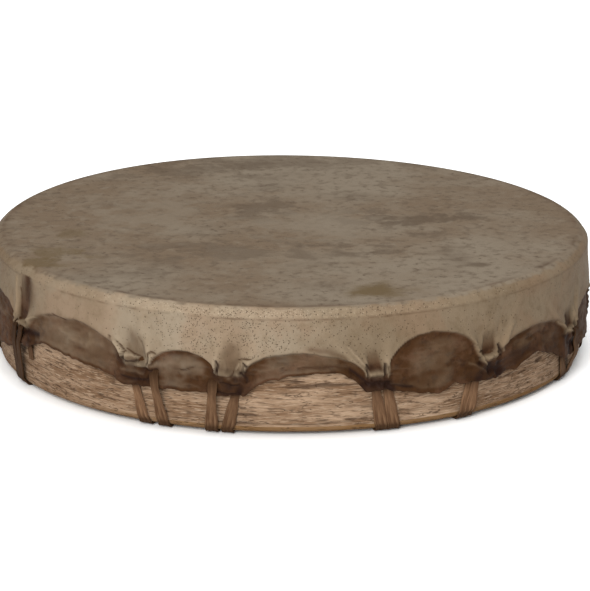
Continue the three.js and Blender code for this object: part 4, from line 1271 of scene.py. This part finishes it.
winding = bpy.data.node_groups.new("ring_winding", "GeometryNodeTree")
winding.is_modifier = True
for socket, kind, value in (("Ring radius", "Float", RING_RADIUS * MM),
                            ("Section radius", "Float", (RING_SECTION - 0.5) * MM),
                            ("Turns", "Int", WINDING_TURNS),
                            ("Thong width", "Float", WINDING_WIDTH * MM),
                            ("Thong thickness", "Float", WINDING_THICKNESS * MM),
                            ("Slant", "Float", 0.16)):
    made = winding.interface.new_socket(socket, in_out="INPUT", socket_type="NodeSocket" + kind)
    made.default_value = value
winding.interface.new_socket("Geometry", in_out="OUTPUT", socket_type="NodeSocketGeometry")
winding_in = winding.nodes.new("NodeGroupInput").outputs
winding_out = winding.nodes.new("NodeGroupOutput").inputs


def grow(kind, inputs=None, **settings):
    """A geometry node of the winding, its inputs plain values or other nodes' outputs."""
    made = winding.nodes.new(kind)
    for name, value in settings.items():
        setattr(made, name, value)
    for name, value in (inputs or {}).items():
        if isinstance(value, bpy.types.NodeSocket):
            winding.links.new(value, made.inputs[name])
        else:
            made.inputs[name].default_value = value
    return made


def circle(steps, radius):
    return grow("GeometryNodeCurvePrimitiveCircle", {"Resolution": steps, "Radius": radius})


def swept(line, section):
    return grow("GeometryNodeCurveToMesh", {"Curve": line.outputs[0], "Profile Curve": section.outputs[0]})


core_line = circle(96, winding_in["Ring radius"])
core_round = circle(16, winding_in["Section radius"])
core = swept(core_line, core_round)
turn_line = circle(22, winding_in["Section radius"])
strip_face = grow("GeometryNodeCurvePrimitiveQuadrilateral", {"Width": winding_in["Thong thickness"],
                                                              "Height": winding_in["Thong width"]})
strip_round = grow("GeometryNodeFilletCurve", {"Curve": strip_face.outputs[0], "Radius": 0.0005, "Count": 2},
                   mode="POLY")
one_turn = swept(turn_line, strip_round)
seats = grow("GeometryNodeCurveToPoints", {"Curve": core_line.outputs[0], "Count": winding_in["Turns"]})
upright = grow("FunctionNodeAlignRotationToVector", {"Vector": seats.outputs["Tangent"]}, axis="Z")
jitter = grow("FunctionNodeRandomValue", {2: -0.05, 3: 0.05, "Seed": 7}, data_type="FLOAT")
slanted = grow("ShaderNodeMath", {0: winding_in["Slant"], 1: jitter.outputs[1]}, operation="ADD")
slant = grow("ShaderNodeCombineXYZ", {"X": slanted.outputs[0]})
spin = grow("FunctionNodeRotateRotation", {"Rotation": upright.outputs[0], "Rotate By": slant.outputs[0]},
            rotation_space="LOCAL")
wound = grow("GeometryNodeInstanceOnPoints", {"Points": seats.outputs[0], "Instance": one_turn.outputs[0],
                                              "Rotation": spin.outputs[0]})
together = grow("GeometryNodeJoinGeometry")
winding.links.new(core.outputs[0], together.inputs[0])
winding.links.new(wound.outputs[0], together.inputs[0])
realized = grow("GeometryNodeRealizeInstances", {"Geometry": together.outputs[0]})
lifted = grow("GeometryNodeTransform", {"Geometry": realized.outputs[0],
                                        "Translation": (0, 0, RING_HEIGHT * MM)})
smoothed = grow("GeometryNodeSetShadeSmooth", {"Geometry": lifted.outputs[0]})
painted = grow("GeometryNodeSetMaterial", {"Geometry": smoothed.outputs[0]})

ring_finish, tree, shader = new_finish("ring_rawhide")
place = put(tree, "TexCoord").outputs["Object"]
grip = cloudy(90.0, 0.42, 0.62)
colour = blend(tree, grip, LACE_BROWN, LACE_TAN)
spots = use(tree, pores, {"Vector": place, "Size": 700.0, "Amount": 0.25})["Mask"]
colour = layer(colour, LACE_GLOOM, spots, 0.6)
tree.links.new(colour, shader.inputs["Base Color"])
shader.inputs["Roughness"].default_value = 0.48
fine = put(tree, "TexNoise", {"Vector": place, "Scale": 500.0, "Detail": 3.0})
roughen(fine.outputs["Fac"], 0.4, 0.0005)
painted.inputs["Material"].default_value = ring_finish
winding.links.new(painted.outputs[0], winding_out[0])

ring_seed = bpy.data.objects.new("ring_seed", bpy.data.meshes.new("ring_seed"))
scene.collection.objects.link(ring_seed)
ring_seed.modifiers.new("winding", "NODES").node_group = winding
evaluated = ring_seed.evaluated_get(bpy.context.evaluated_depsgraph_get())
ring_mesh = bpy.data.meshes.new_from_object(evaluated)
ring_seed.modifiers.clear()
bpy.data.objects.remove(ring_seed)
hand_ring = bpy.data.objects.new("wound_hand_ring", ring_mesh)
scene.collection.objects.link(hand_ring)
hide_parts("hand_ring")
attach(hand_ring, "root")
